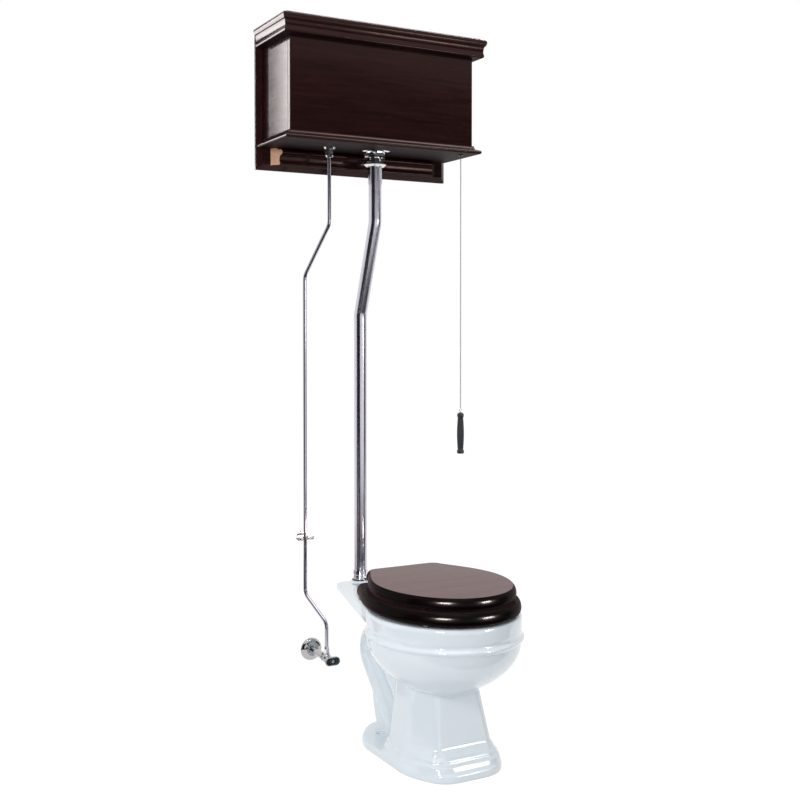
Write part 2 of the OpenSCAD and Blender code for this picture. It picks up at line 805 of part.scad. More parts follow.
module wall_board() {
    w = HALF_W + board_margin;
    bottom = tank_bottom - board_drop;
    h = CROWN_TOP - bottom;
    edge = board_thickness * 0.45;
    cut = atan((board_thickness - edge) / board_bevel);
    color(MAHOGANY) difference() {
        translate([-w, BOARD_Y, bottom]) cube([2 * w, board_thickness, h]);
        for (x = [-1, 1]) translate([x * w, rough_in - edge, bottom - 50])
            mirror([x < 0 ? 1 : 0, 0, 0]) rotate([0, 0, cut]) translate([-60, -60, 0])
                cube([120, 60, h + 100]);
        for (z = [0, 1]) translate([-w - 50, rough_in - edge, bottom + z * h])
            mirror([0, 0, z < 1 ? 1 : 0]) rotate([-cut, 0, 0]) translate([0, -60, -60])
                cube([2 * w + 100, 60, 120]);
        for (x = [-1, 1]) translate([x * wall_screw_spacing / 2, BOARD_Y - 1, CASE_TOP - 46])
            rotate([-90, 0, 0]) cylinder(r = 3.5, h = 60);
    }
}

// A length of moulding along X, its back on the plane y = 0. Each end is square
// or cut back at 45 degrees, sign +1 where the front is longer than the back.
module moulding(profile, x0, x1, left, right) {
    deep = 80;
    difference() {
        translate([x0 - (left > 0 ? deep : 0), 0, 0]) rotate([90, 0, 90])
            linear_extrude(height = x1 - x0 + (left > 0 ? deep : 0) + (right > 0 ? deep : 0))
                polygon(profile);
        if (left != 0) translate([x0, 0, -200]) rotate([0, 0, left > 0 ? -45 : 45])
            translate([-deep * 2, -deep * 2, 0]) cube([deep * 2, deep * 4, 600]);
        if (right != 0) translate([x1, 0, -200]) rotate([0, 0, right > 0 ? 45 : -45])
            translate([0, -deep * 2, 0]) cube([deep * 2, deep * 4, 600]);
    }
}

// Crown profile: round nose, cove and lower bead, as [out, up] from the case.
function crown_profile(out, h) = [
    [0, 0], [-out * 0.62, 0],
    for (t = [0:30:120]) [-out * 0.70 - out * 0.09 * sin(t), h * 0.09 - h * 0.09 * cos(t)],
    for (t = [0:18:90]) [-out * 0.73 - out * 0.17 * (1 - cos(t)), h * 0.26 + h * 0.34 * sin(t)],
    for (t = [-20:28:120]) [-out * 0.80 - out * 0.20 * cos(t), h * 0.76 + h * 0.16 * sin(t)],
    [-out * 0.5, h], [0, h]
];

module crown(side) {
    out = crown_overhang - LID_CLEAR;
    profile = [for (p = crown_profile(out, crown_height)) [p[0], p[1]]];
    color(MAHOGANY) if (side == 0)
        translate([0, FRONT_Y - LID_CLEAR, CROWN_Z])
            moulding(profile, -HALF_W - LID_CLEAR, HALF_W + LID_CLEAR, 1, 1);
    else
        mirror([side > 0 ? 1 : 0, 0, 0]) translate([-HALF_W - LID_CLEAR, 0, CROWN_Z])
            rotate([0, 0, -90]) moulding(profile, -BOARD_Y + 0.5, -FRONT_Y + LID_CLEAR, 0, 1);
}

module crown_front() { crown(0); }

module crown_left() { crown(-1); }

module crown_right() { crown(1); }

module tank_lid_panel() {
    color(MAHOGANY) translate([-HALF_W - LID_CLEAR, FRONT_Y - LID_CLEAR, CASE_TOP + CLEAR])
        cube([2 * HALF_W + 2 * LID_CLEAR, tank_depth + LID_CLEAR - 0.5, CROWN_TOP - CASE_TOP - CLEAR]);
}

module base_mould(side) {
    h = base_mould_height;
    f = base_mould_flare;
    profile = [
        [0, 0], [-f * 0.8, 0],
        for (t = [0:30:180]) [-f * 0.8 - f * 0.2 * sin(t), h * 0.22 - h * 0.22 * cos(t)],
        for (t = [0:15:90]) [-f * 0.2 - f * 0.45 * (1 - sin(t)), h * 0.52 + h * 0.48 * (1 - cos(t))],
        [0, h]
    ];
    color(MAHOGANY) if (side == 0)
        translate([0, FRONT_Y, tank_bottom]) moulding(profile, -HALF_W, HALF_W, 1, 1);
    else
        mirror([side > 0 ? 1 : 0, 0, 0]) translate([-HALF_W, 0, tank_bottom])
            rotate([0, 0, -90]) moulding(profile, -BOARD_Y, -FRONT_Y, 0, 1);
}

module base_moulding_front() { base_mould(0); }

module base_moulding_left() { base_mould(-1); }

module base_moulding_right() { base_mould(1); }

module ledger_moulding() {
    w = HALF_W - 19;
    color(MAHOGANY) translate([0, BOARD_Y, tank_bottom - ledger_height])
        moulding(crown_profile(ledger_depth, ledger_height), -w, w, -1, -1);
}

module tank_floor() {
    color(MAHOGANY) difference() {
        translate([-HALF_W, FRONT_Y, tank_bottom]) cube([tank_width, tank_depth, panel]);
        translate([outlet_offset, OUTLET_Y, 0]) cylinder(r = SHANK_RADIUS + 1, h = 3000);
        translate([INLET_X, INLET_Y, 0]) cylinder(r = 10, h = 3000);
        translate([CHAIN_X, CHAIN_Y, 0]) cylinder(r = 5, h = 3000);
    }
}

module tank_front() {
    color(MAHOGANY) translate([-HALF_W, FRONT_Y, FLOOR_TOP])
        cube([tank_width, panel, CASE_TOP - FLOOR_TOP]);
}

module case_side(x) {
    color(MAHOGANY) translate([x, FRONT_Y + panel, FLOOR_TOP])
        cube([panel, tank_depth - panel, CASE_TOP - FLOOR_TOP]);
}

module tank_left() { case_side(-HALF_W); }

module tank_right() { case_side(HALF_W - panel); }

module tank_back() {
    color(MAHOGANY) difference() {
        translate([-INNER_W, BOARD_Y - panel, FLOOR_TOP])
            cube([2 * INNER_W, panel, CASE_TOP - FLOOR_TOP]);
        for (x = [-1, 1])
            translate([x * wall_screw_spacing / 2, BOARD_Y - panel - 1, CASE_TOP - 46])
                rotate([-90, 0, 0]) cylinder(r = 3.5, h = 60);
    }
}

module tank_liner() {
    color(LINER) difference() {
        translate([0, 0, LINER_Z]) linear_extrude(height = liner_height)
            soft_rect(LINER_L, LINER_R, LINER_F, LINER_B, 14);
        translate([0, 0, LINER_Z + liner_wall]) linear_extrude(height = liner_height)
            soft_rect(LINER_L + liner_wall, LINER_R - liner_wall, LINER_F + liner_wall,
                LINER_B - liner_wall, 11);
        translate([outlet_offset, OUTLET_Y, LINER_Z - 1]) cylinder(r = SHANK_RADIUS + 0.5, h = 10);
        translate([INLET_X, INLET_Y, LINER_Z - 1]) cylinder(r = 9.2, h = 10);
    }
}

// Lever and pull

EAR_F = OUTLET_Y - 44;
EAR_B = OUTLET_Y + 14;

module lever_bracket() {
    color(BRASS) difference() {
        union() {
            translate([SHAFT_X - 9, FRONT_Y + panel, LINER_TOP + 4])
                cube([18, tank_depth - 2 * panel, 3]);
            for (y = [FRONT_Y + panel, BOARD_Y - panel - 3])
                translate([SHAFT_X - 9, y, LINER_TOP + 4]) cube([18, 3, 16]);
            for (y = [EAR_F, EAR_B]) translate([SHAFT_X, y, 0]) {
                translate([-7, 0, LINER_TOP + 6]) cube([14, 4, SHAFT_Z - LINER_TOP - 6]);
                translate([0, 4, SHAFT_Z]) rotate([90, 0, 0]) cylinder(r = 7, h = 4);
            }
        }
        translate([SHAFT_X, BOARD_Y, SHAFT_Z]) rotate([90, 0, 0])
            cylinder(r = 3.5 + RUN, h = tank_depth - panel - 1);
    }
}

// An arm with an open fork at its end, drawn along +X from the shaft.
module fork_arm(length, slot) {
    difference() {
        union() {
            translate([0, -5, -ARM_T / 2]) cube([length, 10, ARM_T]);
            translate([length, 0, -ARM_T / 2]) cylinder(r = 7.6, h = ARM_T);
        }
        translate([length - 2, 0, -10]) cylinder(r = slot, h = 20);
        translate([length - 2, -slot, -10]) cube([4, 2 * slot, 20]);
        translate([length + 2, 0, -10]) cylinder(r = slot, h = 20);
    }
}

module trip_lever() {
    color(BRASS) translate([SHAFT_X, 0, SHAFT_Z]) {
        translate([0, EAR_B + 9, 0]) rotate([90, 0, 0]) cylinder(r = 3.5, h = EAR_B + 9 - CHAIN_Y + 5);
        for (y = [EAR_F - 0.5, EAR_B + 8.5]) translate([0, y, 0]) rotate([90, 0, 0])
            cylinder(r = 6, h = 4);
        rotate([0, -TILT, 0]) {
            translate([0, CHAIN_Y, 0]) fork_arm(lever_arm / cos(TILT) - 0.6, 2.6);
            translate([0, CHAIN_Y + 5, 0]) rotate([90, 0, 0]) cylinder(r = 7, h = 10);
            translate([0, OUTLET_Y, 0]) rotate([0, 0, 180]) fork_arm(LIFT_ARM / cos(TILT) - 0.6, 3.8);
            translate([0, OUTLET_Y + 5, 0]) rotate([90, 0, 0]) cylinder(r = 7, h = 10);
        }
    }
}

module chain_bushing() {
    color(BRASS) translate([CHAIN_X, CHAIN_Y, tank_bottom - 2]) {
        tube(4.9, 3.2, panel + 4);
        tube(7, 3.2, 2);
    }
}

CHAIN_TOP = FORK_Z + ARM_T / 2 + 0.2;
BEADS = floor((CHAIN_TOP - EYE_TOP) / bead_pitch);

// Half outline of the bead chain: beads on a thin core.
function chain_outline() = concat(
    [[0, EYE_TOP], [0.6, EYE_TOP]],
    [
        for (i = [0:BEADS - 1], t = [-60, 0, 60])
            [bead * cos(t) + (t == 0 ? 0 : -0.2), EYE_TOP + (i + 0.5) * bead_pitch + bead * sin(t)]
    ],
    [[0.6, CHAIN_TOP + 2], [0, CHAIN_TOP + 2]]
);

module pull_chain() {
    color(CHROME) translate([CHAIN_X, CHAIN_Y, 0]) {
        rotate_extrude($fn = 16) polygon(chain_outline());
        translate([0, 0, CHAIN_TOP + 3.6]) sphere(r = 4);
    }
}

module handle_eye() {
    color(CHROME) translate([CHAIN_X, CHAIN_Y, 0]) {
        translate([0, 0, HANDLE_TOP - 12]) cylinder(r = 1.4, h = 15);
        translate([0, 0, HANDLE_TOP + 7]) rotate([90, 0, 0])
            rotate_extrude() translate([3.6, 0]) circle(r = 1.2);
    }
}

module pull_handle() {
    top = HANDLE_TOP;
    r = handle_radius;
    h = handle_length;
    outline = [
        [0, 0], [r * 0.86, 0],
        for (t = [-60:30:60]) [r * 0.86 + r * 0.14 * cos(t), h * 0.045 + h * 0.045 * sin(t)],
        [r * 0.80, h * 0.1],
        for (i = [1:11]) [r * (0.78 + 0.2 * sin(15 * i)), h * (0.1 + 0.76 * i / 12)],
        [r * 0.76, h * 0.87],
        for (t = [-60:30:60]) [r * 0.8 + r * 0.13 * cos(t), h * 0.93 + h * 0.045 * sin(t)],
        [r * 0.5, h], [0, h]
    ];
    flutes = 14;
    color(CHARCOAL) translate([CHAIN_X, CHAIN_Y, top - h]) difference() {
        rotate_extrude() polygon(outline);
        for (i = [0:flutes - 1]) rotate([0, 0, 360 * i / flutes])
            translate([r * 1.02, 0, h * 0.12]) cylinder(r = 1.5, h = h * 0.73, $fn = 16);
        translate([0, 0, h - 12.5]) cylinder(r = 1.45, h = 20);
    }
}

// Fill valve

module fill_valve_body() {
    head = FLOAT_Z - 14;
    color(BRASS) difference() {
        union() {
            translate([INLET_X, INLET_Y, tank_bottom - 24])
                cylinder(r = 9, h = LINER_Z + liner_wall - tank_bottom + 25);
            translate([INLET_X, INLET_Y, LINER_Z + liner_wall]) cylinder(r = 17, h = 6);
            translate([INLET_X, INLET_Y, LINER_Z + liner_wall]) cylinder(r = 8, h = head - LINER_Z);
            translate([INLET_X - 13, INLET_Y - 11, head]) cube([24, 22, 9]);
            for (y = [-11, 7]) translate([FLOAT_PIVOT_X - 5, INLET_Y + y, head]) cube([18, 4, 19]);
        }
        translate([INLET_X, INLET_Y, tank_bottom - 30]) cylinder(r = 5.8, h = 30);
        translate([INLET_X, INLET_Y, tank_bottom - 10]) cylinder(r = 3.2, h = head - tank_bottom + 6);
        translate([INLET_X, INLET_Y, head - 12]) cylinder(r = 4 + RUN, h = 40);
        translate([FLOAT_PIVOT_X, INLET_Y - 20, FLOAT_Z]) rotate([-90, 0, 0])
            cylinder(r = 2 + RUN, h = 40);
    }
}

module fill_locknut() {
    color(CHROME) translate([INLET_X, INLET_Y, tank_bottom]) {
        translate([0, 0, -5]) difference() {
            cylinder(r1 = 15, r2 = 18, h = 5);
            translate([0, 0, -1]) cylinder(r = 9.15, h = 8);
        }
    }
}

module float_arm() {
    color(BRASS) translate([FLOAT_PIVOT_X, INLET_Y, FLOAT_Z]) {
        translate([0, 12, 0]) rotate([90, 0, 0]) cylinder(r = 2, h = 24);
        rotate([0, -FLOAT_DROOP, 0]) {
            rotate([90, 0, 0]) translate([0, 0, -6]) cylinder(r = 5, h = 12);
            rotate([0, -90, 0]) cylinder(r = 2.5, h = FLOAT_ARM - FLOAT_RADIUS + 4);
            translate([0, -3, -2]) cube([16, 6, 4]);
        }
    }
}

module float_ball() {
    color(BRASS) translate([FLOAT_PIVOT_X, INLET_Y, FLOAT_Z]) rotate([0, -FLOAT_DROOP, 0])
        translate([-FLOAT_ARM, 0, 0]) difference() {
            rotate([0, 0, 90]) sphere(r = FLOAT_RADIUS);
            translate([FLOAT_RADIUS - 6, 0, 0]) rotate([0, 90, 0]) cylinder(r = 2.6, h = 20);
        }
}

module valve_plunger() {
    head = FLOAT_Z - 14;
    top = FLOAT_Z + 16 * sin(FLOAT_DROOP) - 2 / cos(FLOAT_DROOP) - 1.4;
    color(BRASS) translate([INLET_X, INLET_Y, head - 1]) cylinder(r = 4, h = top - head + 1);
}

// Supply

module supply_tube() {
    joint = 760;
    up = [SUPPLY_X - INLET_X, SUPPLY_Y - INLET_Y];
    down = [STOP_X - SUPPLY_X, STOP_Y - SUPPLY_Y];
    color(CHROME) {
        translate([INLET_X, INLET_Y, 0]) rotate([0, 0, atan2(up[1], up[0])])
            stepped_tube(tank_bottom - 12, 1376, 1238, joint, norm(up), supply_radius, 1, 40);
        translate([SUPPLY_X, SUPPLY_Y, joint - 3]) linear_extrude(height = 6)
            ring_section(supply_radius + FULL, 1 + 2 * FULL);
        translate([SUPPLY_X, SUPPLY_Y, 0]) rotate([0, 0, atan2(down[1], down[0])])
            stepped_tube(joint, 344, 275, stop_height + 14, norm(down), supply_radius, 1, 30);
    }
}

module supply_nut_top() {
    color(CHROME) translate([INLET_X, INLET_Y, tank_bottom - 27]) difference() {
        union() {
            cylinder(r1 = 9, r2 = 11.5, h = 5);
            translate([0, 0, 5]) cylinder(r = 13, h = 16.6, $fn = 6);
        }
        translate([0, 0, -1]) cylinder(r = supply_radius + 0.15, h = 30);
        translate([0, 0, 3]) cylinder(r = 9.15, h = 30);
    }
}

module supply_nut_bottom() {
    color(CHROME) translate([STOP_X, STOP_Y, stop_height + 14]) difference() {
        union() {
            cylinder(r = 8.8, h = 12, $fn = 6);
            translate([0, 0, 12]) cylinder(r1 = 7.4, r2 = 6.4, h = 6);
        }
        translate([0, 0, -1]) cylinder(r = 6.65, h = 8);
        translate([0, 0, -1]) cylinder(r = supply_radius + 0.15, h = 30);
    }
}

module ear_plate(y0, y1) {
    difference() {
        translate([SUPPLY_X, y1, clip_height]) rotate([90, 0, 0]) linear_extrude(height = y1 - y0) {
            square([40, 12], center = true);
            for (x = [-1, 1]) translate([x * 20, 0]) circle(r = 7);
        }
        for (x = [-1, 1]) translate([SUPPLY_X + x * 20, y0 - 5, clip_height]) rotate([-90, 0, 0])
            cylinder(r = 2.1, h = 40);
        translate([SUPPLY_X, SUPPLY_Y, clip_height - 20]) cylinder(r = supply_radius + 0.1, h = 40);
    }
}

module pipe_bracket() {
    color(CHROME) {
        difference() {
            union() {
                ear_plate(SUPPLY_Y + 0.2, SUPPLY_Y + 3.2);
                translate([SUPPLY_X, rough_in - 3, clip_height]) rotate([90, 0, 0])
                    cylinder(r = 5, h = supply_setback - 3 - 0.4);
            }
            translate([SUPPLY_X, SUPPLY_Y, clip_height - 20]) cylinder(r = supply_radius + 0.1, h = 40);
        }
        translate([SUPPLY_X, rough_in, clip_height]) rotate([90, 0, 0]) cylinder(r1 = 15, r2 = 12, h = 4);
    }
}

module bracket_clip() {
    color(CHROME) difference() {
        union() {
            ear_plate(SUPPLY_Y - 3.2, SUPPLY_Y - 0.2);
            translate([SUPPLY_X, SUPPLY_Y, clip_height - 6]) cylinder(r = supply_radius + 3, h = 12);
        }
        translate([SUPPLY_X, SUPPLY_Y, clip_height - 20]) cylinder(r = supply_radius + 0.1, h = 40);
        translate([SUPPLY_X - 12, SUPPLY_Y - 0.2, clip_height - 20]) cube([24, 20, 40]);
    }
}

module bracket_screws() {
    color(CHROME) for (x = [-1, 1]) translate([SUPPLY_X + x * 20, SUPPLY_Y - 3.2, clip_height]) {
        rotate([-90, 0, 0]) cylinder(r = 2, h = 10);
        intersection() {
            rotate([-90, 0, 0]) translate([0, 0, -2.4]) cylinder(r = 4, h = 2.4);
            translate([0, 2.2, 0]) sphere(r = 5);
        }
    }
}

// Stop valve

module stop_valve_body() {
    color(CHROME) difference() {
        union() {
            translate([STOP_X, rough_in - 4, stop_height]) rotate([90, 0, 0])
                cylinder(r = 10.5, h = stop_reach - 14);
            translate([STOP_X, STOP_Y + 20, stop_height]) rotate([90, 0, 0]) cylinder(r = 13, h = 5, $fn = 6);
            translate([STOP_X, STOP_Y, stop_height]) sphere(r = 13);
            translate([STOP_X, STOP_Y, stop_height]) cylinder(r = 8.5, h = 13.8);
            translate([STOP_X, STOP_Y, stop_height]) cylinder(r = 6.5, h = 20.6);
            translate([STOP_X, STOP_Y, stop_height]) rotate([90, 0, 0]) cylinder(r = 9, h = 16);
        }
        translate([STOP_X, rough_in, stop_height]) rotate([90, 0, 0]) cylinder(r = 7.5, h = 30);
        translate([STOP_X, rough_in, stop_height]) rotate([90, 0, 0]) cylinder(r = 5, h = stop_reach);
        translate([STOP_X, STOP_Y, stop_height]) cylinder(r = supply_radius + 0.15, h = 40);
        translate([STOP_X, STOP_Y - 5, stop_height]) rotate([90, 0, 0]) cylinder(r = 3 + RUN, h = 40);
    }
}

module packing_nut() {
    color(CHROME) translate([STOP_X, STOP_Y - 16, stop_height]) rotate([90, 0, 0])
        hex_nut(18, 3 + RUN, 9);
}

HANDLE_Y = STOP_Y - 34;

module stop_stem() {
    color(CHROME) translate([STOP_X, STOP_Y - 6, stop_height]) rotate([90, 0, 0]) {
        cylinder(r = 3, h = 35.4);
        translate([0, 0, 32]) cylinder(r1 = 5, r2 = 4.2, h = 3.4);
    }
}

module stop_handle() {
    color(CHROME) translate([STOP_X, HANDLE_Y, stop_height]) rotate([90, 0, 0]) difference() {
        union() {
            linear_extrude(height = 6) {
                square([20, 24], center = true);
                for (x = [-1, 1]) translate([x * 10, 0]) circle(r = 12);
            }
            translate([0, 0, -8]) cylinder(r1 = 5.5, r2 = 8, h = 8.5);
        }
        translate([0, 0, -20]) cylinder(r = 3.02, h = 40);
        translate([0, 0, 4]) linear_extrude(height = 4) {
            square([20, 19], center = true);
            for (x = [-1, 1]) translate([x * 10, 0]) circle(r = 9.5);
        }
    }
}

module wall_escutcheon() {
    r = escutcheon_radius;
    outline = [
        [10.8, 0], [r, 0], [r, 1],
        for (t = [15:15:90]) [12 + (r - 12) * cos(t), 1 + 12 * sin(t)],
        [10.8, 13]
    ];
    color(CHROME) translate([STOP_X, rough_in, stop_height]) rotate([90, 0, 0])
        rotate_extrude() polygon(outline);
}

// Seat

// Half outline of ring or lid from the front tip to the back middle.
function seat_half(a, reach, rear_half, rear, inset) =
    let (
        wide = reach * 0.47,
        corner = 20
    )
    concat(
        [
            for (i = [0:16])
                let (t = 90 * i / 16)
                [(a - inset) * sin(t), -wide - (reach - wide - inset) * cos(t)]
        ],
        [
            for (i = [1:8])
                let (t = i / 8)
                [
                    mix(rear_half - inset, a - inset, cos(90 * t)),
                    mix(-wide, rear - corner, t)
                ]
        ],
        [
            for (i = [1:4])
                let (t = 90 * i / 4)
                [
                    rear_half - inset - corner * (1 - cos(t)) * (1 - inset / 60),
                    rear - inset * sin(t) - corner * (1 - sin(t))
                ]
        ]
    );

function seat_ring_at(a, reach, rear_half, rear, inset, z) =
    let (h = seat_half(a, reach, rear_half, rear, inset), n = len(h))
    concat(
        [for (p = h) [p[0], p[1], z]],
        [for (i = [n - 1:-1:1]) [-h[i][0], h[i][1], z]]
    );

// Edge of the wood as [inset, share of the thickness].
WOOD_EDGE = [[5, 0], [1.5, 0.08], [0, 0.25], [0, 0.45], [1.5, 0.7], [4.5, 0.88], [8, 1]];

module wooden_slab(a, reach, rear_half, rear, z, thickness) {
    loft([
        for (e = WOOD_EDGE)
            seat_ring_at(a, reach, rear_half, rear, e[0], z + e[1] * thickness)
    ]);
}

module seat_ring() {
    a = ring_hole_width / 2;
    b = ring_hole_length / 2;
    inner = [[4, -1], [4, 0], [0, 0.16], [0, 0.6], [3, 0.84], [9, 1], [12, 1.04]];
    color(MAHOGANY) difference() {
        wooden_slab(RING_A, RING_FRONT, RING_REAR_HALF, RING_REAR, RING_Z, ring_thickness);
        loft([
            for (e = inner)
                oval(a + e[0], b + e[0], HOLE_Y, RING_Z + e[1] * ring_thickness, 2, 36)
        ]);
    }
}

module seat_lid() {
    color(MAHOGANY) wooden_slab(
        RING_A - lid_inset, RING_FRONT - lid_inset + 2, RING_REAR_HALF - 22, RING_REAR - 4,
        LID_Z, lid_thickness
    );
}

module seat_bumpers() {
    color(RUBBER) for (x = [-1, 1]) {
        translate([x * (OVAL_A - 62), 78 - rim_reach, rim_height + CLEAR])
            cylinder(r1 = 7, r2 = 8.5, h = seat_gap - CLEAR);
        translate([x * (OVAL_A - 48), 330 - rim_reach, rim_height + CLEAR])
            cylinder(r1 = 7, r2 = 8.5, h = seat_gap - CLEAR);
    }
}

module lid_bumpers() {
    color(RUBBER) for (x = [-1, 1], y = [100, 320])
        translate([x * (OVAL_A - 68), y - rim_reach, RING_TOP + CLEAR])
            cylinder(r1 = 6, r2 = 7, h = lid_gap - CLEAR);
}

// A knuckle round the hinge pin, w wide along X.
module knuckle(x, w) {
    translate([x - w / 2, PIN_Y, PIN_Z]) rotate([0, 90, 0]) cylinder(r = KNUCKLE, h = w);
}

module pin_bore(r) {
    translate([-200, PIN_Y, PIN_Z]) rotate([0, 90, 0]) cylinder(r = r, h = 400);
}

module hinge_posts() {
    color(CHROME) difference() {
        for (x = [-HINGE_X, HINGE_X]) {
            translate([x, PIN_Y, rim_height]) cylinder(r1 = 17, r2 = 15, h = 4);
            translate([x, PIN_Y, rim_height]) cylinder(r1 = 9, r2 = 7, h = PIN_Z - rim_height);
            knuckle(x, 14);
        }
        pin_bore(pin_radius + RUN);
        for (x = [-HINGE_X, HINGE_X]) translate([x, PIN_Y, rim_height - 1]) cylinder(r = 5.05, h = 21);
    }
}

module hinge_pin() {
    reach = HINGE_X + 24;
    color(CHROME) translate([0, PIN_Y, PIN_Z]) rotate([0, 90, 0]) {
        translate([0, 0, -reach]) cylinder(r = pin_radius, h = 2 * reach);
        for (s = [-1, 1]) translate([0, 0, s * reach]) intersection() {
            sphere(r = pin_radius + 2.5);
            translate([0, 0, s > 0 ? 0 : -20]) cylinder(r = 20, h = 20);
        }
    }
}

module hinge_bolts() {
    color(BRASS) for (x = [-HINGE_X, HINGE_X]) translate([x, PIN_Y, 0]) {
        translate([0, 0, BAND_FOOT - 24]) cylinder(r = 5, h = rim_height - BAND_FOOT + 42);
        translate([0, 0, BAND_FOOT - 15]) hex_nut(22, 5.02, 11);
        translate([0, 0, BAND_FOOT - 4]) tube(15, 5.02, 4);
    }
}

module ring_hinges() {
    color(CHROME) difference() {
        for (x = [-1, 1]) {
            knuckle(x * (HINGE_X + 15), 14);
            translate([x * (HINGE_X + 15) - 7, RING_REAR - 34, RING_TOP]) cube([14, PIN_Y - RING_REAR + 34, 2.5]);
        }
        pin_bore(pin_radius + RUN);
    }
}

module lid_hinges() {
    color(CHROME) difference() {
        for (x = [-1, 1]) {
            knuckle(x * (HINGE_X - 15), 14);
            translate([x * (HINGE_X - 15) - 7, RING_REAR - 40, LID_Z - 2.5]) cube([14, PIN_Y - RING_REAR + 40, 2.5]);
        }
        pin_bore(pin_radius + RUN);
    }
}

bowl();
spud_bushing();
flush_spud();
flush_pipe();
flush_tailpiece();
slip_nut();
flush_locknut();
flush_escutcheon();
flush_valve_body();
flush_valve_washer();
overflow_tube();
lift_guide();
lift_rod();
tank_ball();
wall_board();
ledger_moulding();
tank_floor();
tank_front();
tank_left();
tank_right();
tank_back();
base_moulding_front();
base_moulding_left();
base_moulding_right();
tank_liner();
tank_lid_panel();
crown_front();
crown_left();
crown_right();
lever_bracket();
trip_lever();
chain_bushing();
pull_chain();
handle_eye();
pull_handle();
fill_valve_body();
fill_locknut();
float_arm();
float_ball();
valve_plunger();
supply_tube();
supply_nut_top();
supply_nut_bottom();
pipe_bracket();
bracket_clip();
bracket_screws();
stop_valve_body();
packing_nut();
stop_stem();
stop_handle();
wall_escutcheon();
seat_ring();
seat_lid();
seat_bumpers();
lid_bumpers();
hinge_posts();
hinge_pin();
hinge_bolts();
ring_hinges();
lid_hinges();
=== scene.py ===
"""A high-level toilet: a china bowl with a wooden seat, a wooden tank on a wall board, the flush
pipe and supply between them, and a pull chain. All lengths are in metres."""

import contextlib
import json
import math

import bmesh
import bpy
from bpy.props import FloatProperty, FloatVectorProperty, IntProperty, PointerProperty
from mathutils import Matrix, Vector

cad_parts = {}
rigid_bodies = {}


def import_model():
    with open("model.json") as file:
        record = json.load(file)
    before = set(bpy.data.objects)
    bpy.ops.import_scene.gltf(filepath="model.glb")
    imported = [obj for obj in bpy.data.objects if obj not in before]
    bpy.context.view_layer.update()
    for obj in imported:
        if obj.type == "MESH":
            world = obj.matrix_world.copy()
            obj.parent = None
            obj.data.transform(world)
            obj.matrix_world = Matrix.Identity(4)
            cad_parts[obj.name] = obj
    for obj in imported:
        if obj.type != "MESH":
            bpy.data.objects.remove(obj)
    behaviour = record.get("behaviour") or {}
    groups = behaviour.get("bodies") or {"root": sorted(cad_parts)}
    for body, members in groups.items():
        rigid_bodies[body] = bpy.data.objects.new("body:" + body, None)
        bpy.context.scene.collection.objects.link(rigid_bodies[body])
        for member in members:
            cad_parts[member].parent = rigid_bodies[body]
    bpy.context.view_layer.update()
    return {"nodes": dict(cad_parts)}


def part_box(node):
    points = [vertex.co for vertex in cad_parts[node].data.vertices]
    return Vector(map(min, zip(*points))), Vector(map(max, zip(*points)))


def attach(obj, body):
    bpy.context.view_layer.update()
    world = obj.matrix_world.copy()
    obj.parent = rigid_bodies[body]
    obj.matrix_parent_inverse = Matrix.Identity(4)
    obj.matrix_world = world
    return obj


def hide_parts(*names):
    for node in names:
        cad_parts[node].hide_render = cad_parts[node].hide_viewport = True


bl_info = {
    "name": "High-level toilet",
    "version": (1, 0, 0),
    "blender": (4, 5, 0),
    "location": "3D View > Sidebar > Toilet",
    "description": "Builds a china bowl, wooden seat, wooden tank, pipes and pull chain",
    "category": "Object",
}

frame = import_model()
MM = 0.001

# Places of the colour sockets on a mix node
MIX_A, MIX_B, MIX_RESULT = 6, 7, 2


def corners(node):
    """The low and high corner of a CAD node in millimetres."""
    return [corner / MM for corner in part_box(node)]


RIM_TOP = corners("bowl")[1].z
RING_LOW, RING_HIGH = corners("seat_ring")
LID_LOW, LID_HIGH = corners("seat_lid")
CASE_LOW, CASE_HIGH = corners("tank_front")
BOARD_LOW = corners("wall_board")[0]


# Sizes and colours that a user may change


def colour(name, what, default):
    return FloatVectorProperty(
        name=name, description="Colour of " + what, default=default, subtype="COLOR", size=3,
        min=0, max=1,
    )


def amount(name, description, default, low, high, unit="NONE"):
    return FloatProperty(
        name=name, description=description, default=default, min=low, max=high, unit=unit
    )


def power(name, what, default):
    return amount(name, "Power of " + what, default, 0, 500, "POWER")


def blur(name, what, default):
    return amount(name, f"How blurred the {what} reflects", default, 0, 1)


class ChinaSettings(bpy.types.PropertyGroup):
    glaze: colour("Glaze", "the glazed china", (0.795, 0.862, 0.905))
    roughness: blur("Roughness", "glaze", 0.09)
    softness: amount(
        "Edge softness", "How far the glaze rounds an edge", 0.0028, 0.002, 0.01, "LENGTH"
    )
    smoothing: IntProperty(
        name="Smoothing", description="Passes that even out the glaze", default=2, min=0, max=20
    )


class WoodSettings(bpy.types.PropertyGroup):
    dark: colour("Dark grain", "the dark grain", (0.0125, 0.0042, 0.0044))
    light: colour("Light grain", "the light grain", (0.024, 0.0078, 0.0078))
    # Painted light: the lid top is paler than the rest of the seat because the light from above is
    # painted into its colour.
    lid: colour("Lid top", "the light grain on the seat lid", (0.150, 0.060, 0.056))
    lacquer: colour("Lacquer", "what the lacquer reflects", (1.0, 0.66, 0.60))
    bloom: colour("Bloom", "the seat's edges seen at a slant", (0.75, 0.42, 0.45))
    bare: colour("Bare wood", "wood without its finish", (0.72, 0.42, 0.29))
    roughness: blur("Roughness", "lacquer", 0.09)
    arris: amount(
        "Eased edge", "Width of the eased edges of the boards", 0.0012, 0.0002, 0.005, "LENGTH"
    )


